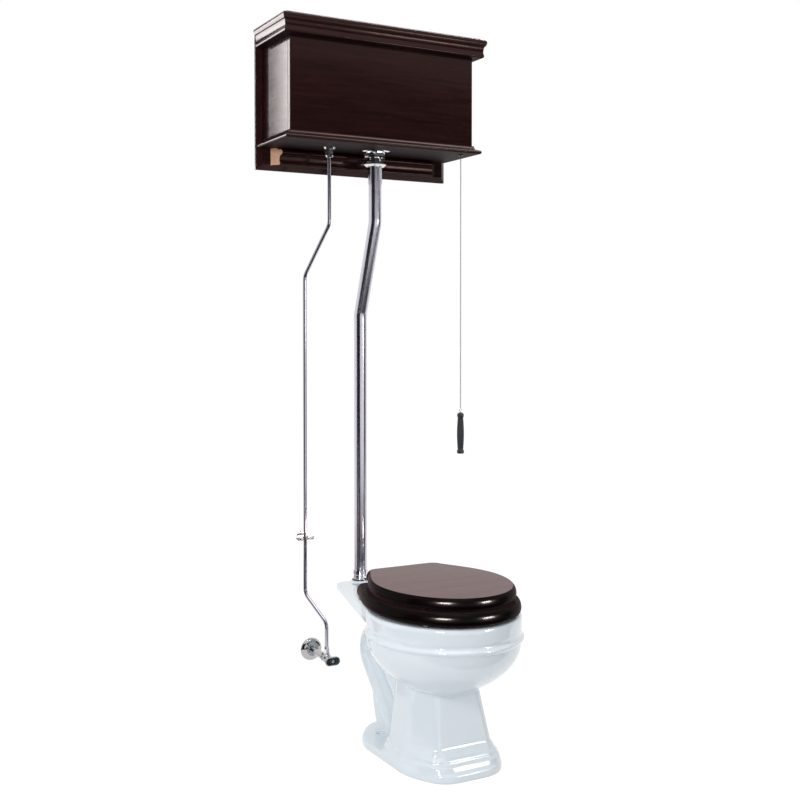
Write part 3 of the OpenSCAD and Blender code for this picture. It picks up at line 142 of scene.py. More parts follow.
class MetalSettings(bpy.types.PropertyGroup):
    bright: colour("Chrome", "the bright plating", (0.76, 0.76, 0.79))
    valve: colour("Stop valve", "the stop valve", (0.46, 0.46, 0.47))
    tube: colour("Supply tube", "the supply tube", (0.50, 0.48, 0.54))
    chain: colour("Chain", "the bead chain", (0.24, 0.24, 0.25))
    satin: colour("Satin steel", "the flush pipe", (0.62, 0.60, 0.68))
    brass: colour("Brass", "the brass works", (0.66, 0.46, 0.20))
    bright_roughness: blur("Chrome roughness", "plating", 0.08)
    satin_roughness: blur("Satin roughness", "pipe", 0.17)


class PullSettings(bpy.types.PropertyGroup):
    bead: amount("Bead radius", "Radius of a bead of the chain", 0.0018, 0.0008, 0.004, "LENGTH")
    pitch: amount("Bead spacing", "Distance between two beads", 0.0052, 0.002, 0.012, "LENGTH")
    flutes: IntProperty(
        name="Flutes", description="Flutes round the handle", default=14, min=0, max=40
    )
    body: colour("Handle", "the handle", (0.030, 0.033, 0.036))


class StageSettings(bpy.types.PropertyGroup):
    glint: power("Glint lamps", "the lamps that only the gloss shows", 42)
    top: power("Top lamp", "the broad lamp overhead", 30)
    edge: power("Edge lamp", "the lamps behind and over the tank", 60)
    ambient: amount("Ambient", "Strength of the even light", 0.56, 0, 3)
    key: power("Key lamp", "the main lamp", 42)
    fill: power("Fill lamp", "the second lamp", 9)


# Meshes


@contextlib.contextmanager
def reworked(mesh):
    """Hands out the mesh's points and faces, and puts them back as they were left."""
    points = bmesh.new()
    points.from_mesh(mesh)
    yield points
    points.to_mesh(mesh)
    points.free()


def mesh_from(name, verts, faces, smooth=True, angle=32):
    """A mesh from points in millimetres, its faces turned outwards."""
    mesh = bpy.data.meshes.new(name)
    mesh.from_pydata([times(v, MM) for v in verts], [], faces)
    with reworked(mesh) as tidy:
        bmesh.ops.remove_doubles(tidy, verts=tidy.verts, dist=1e-6)
        bmesh.ops.recalc_face_normals(tidy, faces=tidy.faces)
    if smooth:
        shade(mesh, angle)
    return mesh


def shade(mesh, angle):
    mesh.shade_smooth()
    mesh.set_sharp_from_angle(angle=math.radians(angle))
    mesh.update()


def loose(name, data):
    obj = bpy.data.objects.new(name, data)
    bpy.context.scene.collection.objects.link(obj)
    return obj


def piece(name, mesh, body, material, stands_for=()):
    """An object of the model that rides on a body and may stand for CAD nodes."""
    obj = loose(name, mesh)
    mesh.materials.clear()
    mesh.materials.append(material)
    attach(obj, body)
    if stands_for:
        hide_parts(*stands_for)
    return obj


def modified(obj, kind, **settings):
    added = obj.modifiers.new(kind.lower(), kind)
    for key, value in settings.items():
        setattr(added, key, value)
    return added


def settled(obj):
    """The object's mesh with its modifiers applied, as a new mesh."""
    bpy.context.view_layer.update()
    graph = bpy.context.evaluated_depsgraph_get()
    return bpy.data.meshes.new_from_object(
        obj.evaluated_get(graph), preserve_all_data_layers=True, depsgraph=graph
    )


def drop(*objs):
    for obj in objs:
        mesh = obj.data
        bpy.data.objects.remove(obj)
        if mesh.users == 0:
            bpy.data.meshes.remove(mesh)


def skin(rings, caps=True, strips=False):
    """Points and faces of a skin through rings of equal count. Strips close an end that isn't flat
    by quads across it, for rings that start on the middle line."""
    n = len(rings[0])
    last = (len(rings) - 1) * n
    verts = [p for ring in rings for p in ring]
    faces = [
        (k * n + i, k * n + (i + 1) % n, (k + 1) * n + (i + 1) % n, (k + 1) * n + i)
        for k in range(len(rings) - 1)
        for i in range(n)
    ]
    if strips:
        for i in range(n // 2):
            across = []
            for j in (i, i + 1, (n - i - 1) % n, (n - i) % n):
                if j not in across:
                    across.append(j)
            if len(across) > 2:
                faces.append(tuple(reversed(across)))
                faces.append(tuple(j + last for j in across))
    elif caps:
        faces.append(tuple(reversed(range(n))))
        faces.append(tuple(last + i for i in range(n)))
    return verts, faces


def turned(outline, x, y, sides=64, profile=None):
    """Points and faces of a turned form about a vertical line, from [radius, height] pairs."""
    rings = []
    for k, (r, z) in enumerate(outline):
        ring = []
        for i in range(sides):
            a = 2 * math.pi * i / sides
            q = r if profile is None else profile(r, z, a)
            ring.append((x + q * math.cos(a), y + q * math.sin(a), z))
        rings.append(ring)
    return skin(rings)


def mix(a, b, f):
    return a + (b - a) * f


def times(values, factor):
    return tuple(value * factor for value in values)


def arc(x, y, rx, ry, start, step, count):
    """Points on a part of an ellipse, from an angle in degrees on by equal steps."""
    turns = [math.radians(start + step * k) for k in range(count)]
    return [(x + rx * math.cos(t), y + ry * math.sin(t)) for t in turns]


def blended(points, steps=4):
    """More points on a smooth curve through the given ones."""
    out = []
    last = len(points) - 1
    for k in range(last):
        p0, p1 = points[max(k - 1, 0)], points[k]
        p2, p3 = points[k + 1], points[min(k + 2, last)]
        for s in range(steps):
            t = s / steps
            out.append(tuple(
                0.5 * (2 * b + (c - a) * t + (2 * a - 5 * b + 4 * c - d) * t * t
                       + (3 * b - a - 3 * c + d) * t ** 3)
                for a, b, c, d in zip(p0, p1, p2, p3)
            ))
    out.append(tuple(points[-1]))
    return out


def oval(a, b, yc, z, count=176):
    return [(x, y, z) for x, y in arc(0, yc, a, b, -90, 360 / count, count)]


def eased(plan, r, z, m=8, flat=0.0):
    """A closed outline with its corners curved over the length r, or nearer to cut off straight."""
    out = []
    n = len(plan)
    for i in range(n):
        p = Vector(plan[i])
        before, after = Vector(plan[i - 1]) - p, Vector(plan[(i + 1) % n]) - p
        u = before.normalized() * min(r, 0.46 * before.length)
        v = after.normalized() * min(r, 0.46 * after.length)
        for j in range(m):
            t = j / (m - 1)
            q = p + mix(u * (1 - t) ** 2 + v * t * t, u * (1 - t) + v * t, flat)
            out.append((q.x, q.y, z))
    return out


def eight(front, side, rear, y0, y1, y2, y3):
    return [
        (front, y0), (side, y1), (side, y2), (rear, y3),
        (-rear, y3), (-side, y2), (-side, y1), (-front, y0),
    ]


def drawn_in(plan, inset):
    """The plan with each corner moved towards the middle of the pedestal."""
    out = []
    for p in plan:
        q = Vector(p)
        q -= inset * (q - Vector((0, -190))).normalized()
        out.append((q.x, q.y))
    return out


def side_sweep(path, count=48):
    """A tube in the plane of symmetry, through [y, z, half width, half height]."""
    rings = []
    last = len(path) - 1
    for k, (y, z, w, h) in enumerate(path):
        a, b = path[max(k - 1, 0)], path[min(k + 1, last)]
        run = Vector((b[0] - a[0], b[1] - a[1])).normalized()
        ring = []
        for i in range(count):
            t = 2 * math.pi * i / count - math.pi / 2
            ring.append((w * math.cos(t), y + h * math.sin(t) * run.y, z - h * math.sin(t) * run.x))
        rings.append(ring)
    return skin(rings)


def taken(obj):
    """The settled mesh of an object that isn't needed any more."""
    done = settled(obj)
    drop(obj)
    return done


def carved(base, others, operation):
    """The base object joined with, or cut by, each of the others in turn."""
    for verts, faces in others:
        tool = loose("tool", mesh_from("tool", verts, faces, smooth=False))
        cut = modified(base, "BOOLEAN", operation=operation, solver="MANIFOLD", object=tool)
        done = settled(base)
        base.modifiers.remove(cut)
        old = base.data
        base.data = done
        bpy.data.meshes.remove(old)
        drop(tool)


# Finishes


def grow(tree, kind, inputs=None, **settings):
    """A new node with its own settings. Each input takes a value or the output of another node."""
    node = tree.nodes.new(kind)
    for key, value in settings.items():
        setattr(node, key, value)
    for key, value in (inputs or {}).items():
        if isinstance(value, bpy.types.NodeSocket):
            tree.links.new(value, node.inputs[key])
        else:
            node.inputs[key].default_value = value
    return node


def combined(tree, operation, a, b):
    return grow(tree, "ShaderNodeMath", {0: a, 1: b}, operation=operation).outputs[0]


def open_group(name, kind, **inputs):
    """A new node group and the sockets that bring its inputs, each given by type and value."""
    tree = bpy.data.node_groups.new(name, kind)
    for key, (form, *value) in inputs.items():
        made = tree.interface.new_socket(
            name=key.replace("_", " "), in_out="INPUT", socket_type="NodeSocket" + form
        )
        if value:
            made.default_value = value[0]
    return tree, tree.nodes.new("NodeGroupInput").outputs


def close_group(tree, **results):
    """Gives a node group its outputs, each by type and the socket that it comes from."""
    for key, (form, _) in results.items():
        tree.interface.new_socket(name=key, in_out="OUTPUT", socket_type="NodeSocket" + form)
    out = tree.nodes.new("NodeGroupOutput")
    for key, (_, source) in results.items():
        tree.links.new(source, out.inputs[key])
    return tree


def wood_grain_group():
    """Long streaks, fine pores and a little drift of tone, along the X of the given vector."""
    tree = bpy.data.node_groups.get("wood_grain")
    if tree:
        return tree
    tree, given = open_group(
        "wood_grain", "ShaderNodeTree", Vector=("Vector",), Dark=("Color", (0.02, 0.01, 0.01, 1)),
        Light=("Color", (0.06, 0.03, 0.02, 1)),
    )

    def ramped(x, yz, scale, detail, distortion, low, high):
        """A noise drawn out along X, as a value that rises from low to high."""
        place = grow(tree, "ShaderNodeMapping", {"Vector": given["Vector"], "Scale": (x, yz, yz)})
        noise = grow(tree, "ShaderNodeTexNoise", {
            "Vector": place.outputs["Vector"], "Scale": scale, "Detail": detail,
            "Roughness": 0.6, "Distortion": distortion,
        })
        inputs = {"Value": noise.outputs["Fac"], "From Min": low, "From Max": high}
        ramp = grow(tree, "ShaderNodeMapRange", inputs, interpolation_type="SMOOTHSTEP")
        return ramp.outputs["Result"]

    def part(value, share):
        return combined(tree, "MULTIPLY", value, share)

    def blend(factor, a, b, **settings):
        inputs = {"Factor": factor, MIX_A: a, MIX_B: b}
        node = grow(tree, "ShaderNodeMix", inputs, data_type="RGBA", **settings)
        return node.outputs[MIX_RESULT]

    wide = ramped(1.1, 9, 3.2, 5, 0.8, 0.32, 0.68)
    lines = ramped(2.2, 60, 3.0, 6, 0.4, 0.30, 0.72)
    pores = ramped(14, 420, 2.2, 2, 0.0, 0.60, 0.78)
    tone = combined(tree, "ADD", part(wide, 0.55), part(lines, 0.45))
    grain = blend(tone, given["Dark"], given["Light"])
    darker = blend(part(pores, 0.6), grain, (0.45, 0.4, 0.4, 1), blend_type="MULTIPLY")
    height = combined(tree, "SUBTRACT", part(lines, 0.3), pores)
    rough = combined(tree, "ADD", part(lines, 0.05), part(pores, 0.08))
    return close_group(
        tree, Color=("Color", darker), Height=("Float", height), Roughness=("Float", rough)
    )


def drift_group():
    """A value that wanders gently between two limits over the surface."""
    tree = bpy.data.node_groups.get("surface_drift")
    if tree:
        return tree
    tree, given = open_group(
        "surface_drift", "ShaderNodeTree", Vector=("Vector",), Scale=("Float", 10.0),
        Low=("Float", 0.0), High=("Float", 1.0),
    )
    noise = grow(tree, "ShaderNodeTexNoise", {
        "Vector": given["Vector"], "Scale": given["Scale"], "Detail": 4,
    })
    spread = grow(tree, "ShaderNodeMapRange", {
        "Value": noise.outputs["Fac"], "From Min": 0.3, "From Max": 0.7,
        "To Min": given["Low"], "To Max": given["High"],
    })
    return close_group(tree, Value=("Float", spread.outputs["Result"]))


class Finish:
    """A material with its shader and a mapping from Object coordinates."""

    def __init__(self, name, stretch=(1, 1, 1), turn=(0, 0, 0)):
        self.material = bpy.data.materials.new(name)
        self.material.use_nodes = True
        self.tree = self.material.node_tree
        self.shader = self.tree.nodes["Principled BSDF"]
        place = grow(self.tree, "ShaderNodeTexCoord").outputs["Object"]
        self.mapping = grow(
            self.tree, "ShaderNodeMapping", {"Vector": place, "Scale": stretch, "Rotation": turn}
        )

    def link(self, source, to):
        self.tree.links.new(source, self.shader.inputs[to])

    def set(self, **values):
        for key, value in values.items():
            name = key.replace("_", " ").title().replace("Ior", "IOR")
            if isinstance(value, tuple) and len(value) == 3:
                value = (*value, 1)
            self.shader.inputs[name].default_value = value

    def group(self, tree, **values):
        inputs = {"Vector": self.mapping.outputs["Vector"]}
        for key, value in values.items():
            inputs[key.title()] = (*value, 1) if isinstance(value, tuple) else value
        return grow(self.tree, "ShaderNodeGroup", inputs, node_tree=tree)

    def drift(self, scale, low, high, to):
        node = self.group(drift_group(), scale=scale, low=low, high=high)
        self.link(node.outputs["Value"], to)

    def bump(self, height, strength, distance):
        inputs = {"Height": height, "Strength": strength, "Distance": distance}
        self.link(grow(self.tree, "ShaderNodeBump", inputs).outputs["Normal"], "Normal")

    def fine_bump(self, scale, strength, distance):
        ripple = self.group(drift_group(), scale=scale, low=0.0, high=1.0)
        self.bump(ripple.outputs["Value"], strength, distance)


def kept(make):
    """Makes a material when its name is first asked for, and finds it by its name from then on."""
    def found(name, *given, **named):
        return bpy.data.materials.get(name) or make(name, *given, **named)
    return found


@kept
def glazed(name, tint, roughness):
    f = Finish(name)
    f.set(base_color=tint, specular_ior_level=0.5, coat_weight=0.35, coat_roughness=0.03)
    f.drift(7, roughness - 0.02, roughness + 0.03, "Roughness")
    f.fine_bump(26.0, 0.05, 0.002)
    return f.material


@kept
def grained(name, dark, light, turn=(0, 0, 0), bump=0.2, distance=0.0005, lacquer=None, **look):
    """Wood with its grain along X before the turn. Where lacquer is given, it is a roughness that
    the grain adds to."""
    f = Finish(name, turn=turn)
    f.set(**look)
    grain = f.group(wood_grain_group(), dark=dark, light=light)
    f.link(grain.outputs["Color"], "Base Color")
    if lacquer is not None:
        f.link(combined(f.tree, "ADD", grain.outputs["Roughness"], lacquer), "Roughness")
    f.bump(grain.outputs["Height"], bump, distance)
    return f.material


@kept
def metal(name, tint, roughness, scale=40.0, stretch=(1, 1, 1), bump=0.0):
    f = Finish(name, stretch=stretch)
    f.set(base_color=tuple(tint), metallic=1.0)
    f.drift(scale, max(roughness - 0.03, 0.02), roughness + 0.04, "Roughness")
    if bump:
        f.fine_bump(scale * 6, bump, 0.0002)
    return f.material


@kept
def plain(name, tint, roughness, scale=60.0, bump=0.1):
    f = Finish(name)
    f.set(base_color=tuple(tint))
    f.drift(scale, max(roughness - 0.05, 0.02), roughness + 0.05, "Roughness")
    f.fine_bump(scale * 8, bump, 0.0003)
    return f.material


def china():
    s = bpy.context.scene.toilet_china
    return glazed("vitreous_china", tuple(s.glaze), s.roughness)


def mahogany(along, kind="case"):
    """Lacquered mahogany with its grain along x or y. The seat's is darker, and the top of its
    lid is paler: the light that falls on it from above is painted into its colour."""
    s = bpy.context.scene.toilet_wood
    turn = (0, 0, math.pi / 2 if along == "y" else 0)
    dark, light, level, look = {
        "case": (times(s.dark, 1), times(s.light, 1), 0.25, {}),
        "seat": (times(s.dark, 0.12), times(s.light, 0.2), 0.0, {
            "coat_weight": 0.10, "coat_roughness": 0.2,
            "sheen_weight": 0.25, "sheen_roughness": 0.3, "sheen_tint": tuple(s.bloom),
        }),
        # The lid top's finish is painted light: paler than the seat's, for the light from above.
        "top": (times(s.lid, 0.68), times(s.lid, 1), 0.04, {}),
    }[kind]
    return grained(
        f"mahogany_{kind}_{along}", dark, light, turn, 0.12, 0.0004, s.roughness,
        specular_ior_level=level, specular_tint=tuple(s.lacquer), **look,
    )


def under_wood():
    """Stained but not lacquered, for the undersides."""
    s = bpy.context.scene.toilet_wood
    return grained(
        "stained_underside", times(s.dark, 0.8), times(s.light, 1),
        specular_ior_level=0.1, roughness=0.6,
    )


def bare_wood():
    s = bpy.context.scene.toilet_wood
    return grained(
        "bare_wood", times(s.bare, 0.72), times(s.bare, 1), specular_ior_level=0.2, roughness=0.7
    )


def second_finish(obj, material, chosen):
    """Gives the faces whose normal is chosen a further finish."""
    place = len(obj.data.materials)
    obj.data.materials.append(material)
    for face in obj.data.polygons:
        if chosen(face.normal):
            face.material_index = place
    return obj


def matt_under(obj):
    return second_finish(obj, under_wood(), lambda normal: normal.z < -0.8)


def plated(kind):
    """One of the metals, by its name, tint and roughness, and for some by how it is brushed."""
    s = bpy.context.scene.toilet_metal
    smooth = s.bright_roughness
    return metal(*{
        "chrome": ("bright_chrome", s.bright, smooth),
        "tube": ("tube_chrome", s.tube, smooth + 0.04),
        "valve": ("valve_chrome", s.valve, smooth),
        "chain": ("bead_chrome", s.chain, smooth + 0.05),
        "satin": ("satin_steel", s.satin, s.satin_roughness, 30.0, (40, 40, 1), 0.15),
        "brass": ("cast_brass", s.brass, 0.26, 60.0, (1, 1, 1), 0.25),
        "aged": ("aged_brass", (0.07, 0.05, 0.03), 0.4),
    }[kind])


def rubber():
    return plain("black_rubber", (0.012, 0.012, 0.013), 0.55)


def dress(material, nodes):
    """Gives CAD nodes that stay as they are their finish."""
    for name in nodes.split():
        mesh = frame["nodes"][name].data
        mesh.materials.clear()
        mesh.materials.append(material)


def eased_copy(node, body, material, width):
    """A CAD node's form with merged points and eased edges, which stands for it."""
    sharp = math.radians(30)
    mesh = frame["nodes"][node].data.copy()
    with reworked(mesh) as tidy:
        bmesh.ops.remove_doubles(tidy, verts=tidy.verts, dist=2e-6)
        flat = math.radians(1)
        bmesh.ops.dissolve_limit(tidy, angle_limit=flat, verts=tidy.verts, edges=tidy.edges)
    mesh.shade_smooth()
    if mesh.has_custom_normals:
        mesh.attributes.remove(mesh.attributes["custom_normal"])
    mesh.set_sharp_from_angle(angle=sharp)
    obj = loose("easing", mesh)
    modified(
        obj, "BEVEL", width=width, segments=2, limit_method="ANGLE", angle_limit=sharp,
        harden_normals=True, use_clamp_overlap=True,
    )
    return piece(node + "_eased", taken(obj), body, material, (node,))


# Bowl

OVAL_A = 190.0
OVAL_B = 211.0
OVAL_Y = -203.0
BELLY_TOP = 318.0
BELLY_FOOT = 186.0
BEAD_Z = 328.0
BAND_FOOT = 340.0
DECK_BACK = 294.0
DECK_FLAT_END = 92.0
DECK_DROP = 20.0
PEDESTAL_TOP = 195.0
PEDESTAL_FOOT = 70.0
FOOT = 21.0
PIPE_Y = 256.0
SPUD_Z = 372.0
SPUD_BOSS_R, SPUD_BORE_R = 28.0, 19.7
CHANNEL_R = 13.0
WALL = 13.0
TRAP_R = 27.0
OUTLET_R = 28.0
# Share of the glaze's faces that is kept, where its softness is that given
THINNED, THINNED_AT = 0.38, 0.0028
BOLT_X, BOLT_R = 76.0, 6.5
HINGE_X, HINGE_Y, HINGE_R = 70.0, 44.0, 7.0


def belly(z):
    h = (BELLY_TOP - z) / (BELLY_TOP - BELLY_FOOT)
    return mix(72, OVAL_A - 2, 1 - max(h, 0) ** 2.2)


def belly_length(a):
    return OVAL_B + (a - OVAL_A) * 1.18


def bowl_ring(a, z):
    return oval(a, belly_length(a), OVAL_Y, z)


def bowl_outside():
    rings = []
    for i in range(25):
        z = mix(BELLY_FOOT, BELLY_TOP, (i / 24) ** 1.3)
        rings.append(bowl_ring(belly(z), z))
    rings += [bowl_ring(a, z) for a, z in arc(OVAL_A - 1, BEAD_Z, 6, 5.4, -90, 15, 13)]
    rings.append(bowl_ring(OVAL_A - 4, BAND_FOOT + 12))
    return skin(rings)


def deck_top(y):
    return RIM_TOP - DECK_DROP * max(0, (y - DECK_FLAT_END) / (DECK_BACK - DECK_FLAT_END))


def deck_ring(inset, top_inset, level):
    half = arc(0, OVAL_Y, OVAL_A - inset, OVAL_B - inset, -90, 116 / 60, 61)
    half += arc(48 - inset, DECK_BACK - 16 - inset, 16, 16, 0, 7.5, 13)
    both = half + [(-x, y) for x, y in half[:0:-1]]
    return [
        (x, y, BAND_FOOT + level if level >= 0 else deck_top(y) - top_inset) for x, y in both
    ]


def deck():
    profile = [(6, 0, 0), (1, 0, 5), (0, 10, -1), (1.5, 3, -1), (6, 0, -1)]
    return skin([deck_ring(*p) for p in profile], strips=True)


def pedestal_plan(z):
    f = (z - PEDESTAL_FOOT) / (PEDESTAL_TOP - PEDESTAL_FOOT)
    front, side, rear, reach = mix(78, 62, f), mix(112, 93, f), mix(80, 70, f), mix(303, 272, f)
    return eight(front, side, rear, -reach, -212, -120, -100)


def step_plan(f, inset):
    foot = eight(90, 136, 116, -348, -258, -116, -96)
    plan = [
        (mix(a[0], b[0], f), mix(a[1], b[1], f))
        for a, b in zip(foot, pedestal_plan(PEDESTAL_FOOT))
    ]
    return drawn_in(plan, inset)


def pedestal():
    steps = [
        (0.12, 3, 5), (0.12, 3, FOOT + 3), (0.14, 4, FOOT + 8), (0.26, 0, FOOT + 9),
        (0.28, 0, FOOT + 14), (0.3, 2, FOOT + 17), (0.5, 0, FOOT + 18), (0.52, 0, FOOT + 27),
        (0.56, 2, FOOT + 30), (0.72, 0, FOOT + 31), (0.8, 0, FOOT + 38),
        (0.96, 0, PEDESTAL_FOOT - 3),
    ]
    rings = [
        eased(step_plan(f, inset), mix(40, 10, f), z, flat=min(0.9, 1.5 * f))
        for f, inset, z in steps
    ]
    for k in range(7):
        z = mix(PEDESTAL_FOOT, PEDESTAL_TOP, k / 6) if k < 6 else PEDESTAL_TOP + 14
        rings.append(eased(pedestal_plan(z), 10, z, flat=0.94))
    return skin(rings)


def foot():
    plan = eight(84, 136, 62, -348, -252, -6, 90)
    inner = eight(82, 133, 60, -345, -251, -7, 87)
    rings = [(inner, 0), (plan, 3), (plan, FOOT - 4), (inner, FOOT)]
    return skin([eased(p, 46, z, 14) for p, z in rings])


def trap_line(start):
    """The trapway's middle line as [y, z]: level, up at a slant, over the crest and down."""
    rise, fall, crest_r = 60, 50, 48
    cy, cz, low_in = 90, 212, 108
    c = math.sin(math.radians(45))
    in_y = cy - crest_r * c - (cz + crest_r * c - (low_in + rise * (1 - c))) - rise * c
    low_z = cz - crest_r * c - (cy + crest_r * c - fall * (1 - c)) - fall * c
    return [
        (start, low_in), *arc(in_y, low_in + rise, rise, rise, -90, 7.5, 7),
        *arc(cy, cz, crest_r, crest_r, 135, -9, 21), *arc(fall, low_z, fall, fall, -225, 7.5, 7),
        (0, 8),
    ]


def trap(half_width, half_height, start):
    return side_sweep([(y, z, half_width, half_height) for y, z in trap_line(start)])


def heel():
    """Full heel behind the outlet, between the foot and the falling leg."""
    levels = [(12, 40, 38), (FOOT + 4, 46, 40), (76, 62, 40), (100, 68, 38), (124, 72, 30)]
    return skin([oval(56, half, y, z, 64) for z, y, half in levels])


def neck():
    path = [
        (-60, 288, 84, 66), (0, 292, 54, 60), (60, 300, 46, 53), (110, 308, 46, 47),
        (180, 324, 45, 34), (PIPE_Y - 12, 334, 44, 26), (DECK_BACK - 3, 340, 34, 17),
    ]
    return side_sweep(blended(path, 3))


def block(outline, x0, x1):
    """A prism along X from points [y, z]."""
    return skin([[(x0, y, z) for y, z in outline], [(x1, y, z) for y, z in outline]])


def rod(r, z0, z1, x=0.0, y=0.0, sides=48):
    return turned([(r, z0), (r, z1)], x, y, sides)


def well():
    low_z = PEDESTAL_TOP + 16
    low = belly(low_z) - WALL
    low_b = belly_length(low + WALL) - WALL
    rings = []
    for i in range(12):
        f = i / 12
        a, b = mix(29, low, f ** 3), mix(29, low_b, f ** 3)
        rings.append(oval(a, b, mix(-150, OVAL_Y, f), mix(82, low_z, f)))
    for i in range(11):
        z = mix(low_z, BELLY_TOP - 14, i / 10)
        a = belly(z) - WALL - 8 * i / 10
        rings.append(oval(a, belly_length(a + WALL) - WALL, OVAL_Y, z))
    for z in (RIM_TOP - 48, RIM_TOP - 18):
        rings.append(oval(OVAL_A - 22, OVAL_B - 22, OVAL_Y, z))
    return skin(rings)


def rim_lip():
    a, b = 130, 160
    return skin([
        oval(a + d, b + d, OVAL_Y - 10, z)
        for d, z in ((-4, RIM_TOP - 50), (0, RIM_TOP - 44), (0, RIM_TOP - 10))
    ])


def rim_opening():
    profile = [(3, -58), (0, -44), (0, -8), (2.5, -2.5), (9, 0.5)]
    return skin([oval(118 + d, 148 + d, OVAL_Y - 10, RIM_TOP + z) for d, z in profile])


def foot_hollow():
    plan = drawn_in(pedestal_plan(PEDESTAL_FOOT), 18)
    return skin([eased(plan, 20, -1), eased(plan, 20, 46), eased(drawn_in(plan, 12), 16, 60)])


class TOILET_OT_bowl(bpy.types.Operator):
    """Casts the china bowl with its rim, well, pedestal, steps, trapway and deck"""

    bl_idname = "toilet.bowl"
    bl_label = "China bowl"

    def execute(self, context):
        s = context.scene.toilet_china
        obj = loose("casting", mesh_from("casting", *bowl_outside(), smooth=False))
        carved(obj, [deck(), pedestal(), foot(), neck()], "UNION")
        carved(obj, [well(), foot_hollow()], "DIFFERENCE")
        web = [(-112, 12), (6, 12), (100, 120), (100, 205), (60, 205), (-112, 100)]
        boss = rod(SPUD_BOSS_R, SPUD_Z - 24, SPUD_Z, 0, PIPE_Y)
        carved(obj, [rim_lip(), trap(59, 43, -113), block(web, -16, 16), heel(), boss], "UNION")
        holes = [rim_opening(), trap(TRAP_R, TRAP_R, -150), rod(OUTLET_R, -1, 24)]
        low, high = BAND_FOOT - 30, BAND_FOOT + 60
        for side in (-1, 1):
            holes.append(rod(BOLT_R, -1, FOOT + 60, side * BOLT_X, 0, 32))
            holes.append(rod(HINGE_R, low, high, side * HINGE_X, HINGE_Y, 32))
        holes.append(rod(SPUD_BORE_R, SPUD_Z - 44, SPUD_Z + 16, 0, PIPE_Y))
        channel = [(y, SPUD_Z - 31, CHANNEL_R, CHANNEL_R) for y in (-24, PIPE_Y)]
        holes.append(side_sweep(channel, 32))
        carved(obj, holes, "DIFFERENCE")
        modified(obj, "REMESH", mode="VOXEL", voxel_size=s.softness, use_smooth_shade=True)
        if s.smoothing:
            modified(obj, "SMOOTH", factor=0.5, iterations=s.smoothing)
        modified(obj, "DECIMATE", ratio=min(1.0, THINNED * (s.softness / THINNED_AT) ** 2))
        done = taken(obj)
        keep_off_floor(done)
        done.shade_smooth()
        piece("china_bowl", done, "base", china(), ("bowl",))
        return {"FINISHED"}


def keep_off_floor(mesh):
    """Sets what the smoothing left just off the floor flat on it, for a foot that stands true."""
    for v in mesh.vertices:
        if v.co.z < 0.0012:
            v.co.z = 0.0002


# Seat

# Outlines as half width, reach to the front, half width at the rear and reach to the rear
RING_PLAN = (187, 417, 136, 24)
LID_PLAN = (175, 407, 114, 20)
HOLE_A, HOLE_B, HOLE_Y = 108, 142, -217

# Edges as [inset, share of the thickness]
EDGE = [(5, 0), (1.5, 0.08), (0, 0.25), (0, 0.45), (1.5, 0.7), (4.5, 0.88), (8, 1)]
HOLE_EDGE = [(12, 1.0), (9, 1.0), (3, 0.84), (0, 0.6), (0, 0.16), (4, 0)]


def seat_outline(a, reach, rear_half, rear, inset, z):
    wide = reach * 0.47
    corner = 20 if rear == RING_PLAN[-1] else 30
    half = arc(0, -wide, a - inset, reach - wide - inset, -90, 90 / 48, 48)
    for i in range(33):
        t = i / 32
        half.append((mix(rear_half - inset, a - inset, math.cos(math.pi / 2 * t)),
                     mix(-wide, rear - corner, t)))
    across = corner * (1 - inset / 60)
    half += arc(rear_half - inset - across, rear - corner, across, corner - inset, 7.5, 7.5, 12)
    x, y = half[-1]
    half += [(x * (1 - k / 8), y) for k in range(1, 8)] + [(0, y)]
    both = half + [(-x, y) for x, y in half[-2:0:-1]]
    return [(x, y, z) for x, y in both]


def slab_rings(plan, z, thickness):
    return [
        seat_outline(*plan, inset, z + share * thickness) for inset, share in blended(EDGE, 4)
    ]


class TOILET_OT_seat(bpy.types.Operator):
    """Makes the wooden seat ring and lid and finishes their hinges and bumpers"""

    bl_idname = "toilet.seat"
    bl_label = "Seat"

    def execute(self, context):
        thick = RING_HIGH.z - RING_LOW.z
        rings = slab_rings(RING_PLAN, RING_LOW.z, thick)
        hole = []
        for d, share in blended(HOLE_EDGE, 4):
            ring = []
            z = RING_LOW.z + min(share, 1) * thick
            for x, y, _ in rings[0]:
                angle = math.atan2(x, HOLE_Y - y)
                ring.append((
                    (HOLE_A + d) * math.sin(angle), HOLE_Y - (HOLE_B + d) * math.cos(angle), z
                ))
            hole.append(ring)
        verts, faces = skin(rings + hole, caps=False)
        n = len(rings[0])
        last = (len(rings) + len(hole) - 1) * n
        faces += [(last + i, last + (i + 1) % n, (i + 1) % n, i) for i in range(n)]
        mesh = mesh_from("seat_ring_wood", verts, faces)
        wood = mahogany("x", "seat")
        piece("seat_ring_wood", mesh, "seat_ring", wood, ("seat_ring",))

        rings = slab_rings(LID_PLAN, LID_LOW.z, LID_HIGH.z - LID_LOW.z)
        mesh = mesh_from("seat_lid_wood", *skin(rings, strips=True))
        lid = piece("seat_lid_wood", mesh, "seat_lid", wood, ("seat_lid",))
        # The faces that face up get the paler finish: painted light from above.
        second_finish(lid, mahogany("x", "top"), lambda normal: normal.z > 0.8)
        dress(plated("chrome"), "hinge_posts hinge_pin ring_hinges lid_hinges")
        dress(plated("brass"), "hinge_bolts")
        dress(rubber(), "seat_bumpers lid_bumpers")
        return {"FINISHED"}


# Tank


def scaled(points, x, y):
    return [(x * across, y * up) for across, up in points]


def crown_profile(out, h):
    """Nose, cove and bead of the crown moulding, as [outwards, upwards] from the case."""
    return scaled([
        (0, 0), (0.62, 0), *arc(0.70, 0.09, 0.09, 0.09, -90, 15, 9),
        *arc(0.90, 0.26, 0.17, 0.34, 180, -9, 11), *arc(0.80, 0.76, 0.20, 0.16, -20, 14, 11),
        (0.5, 1), (0, 1),
    ], out, h)


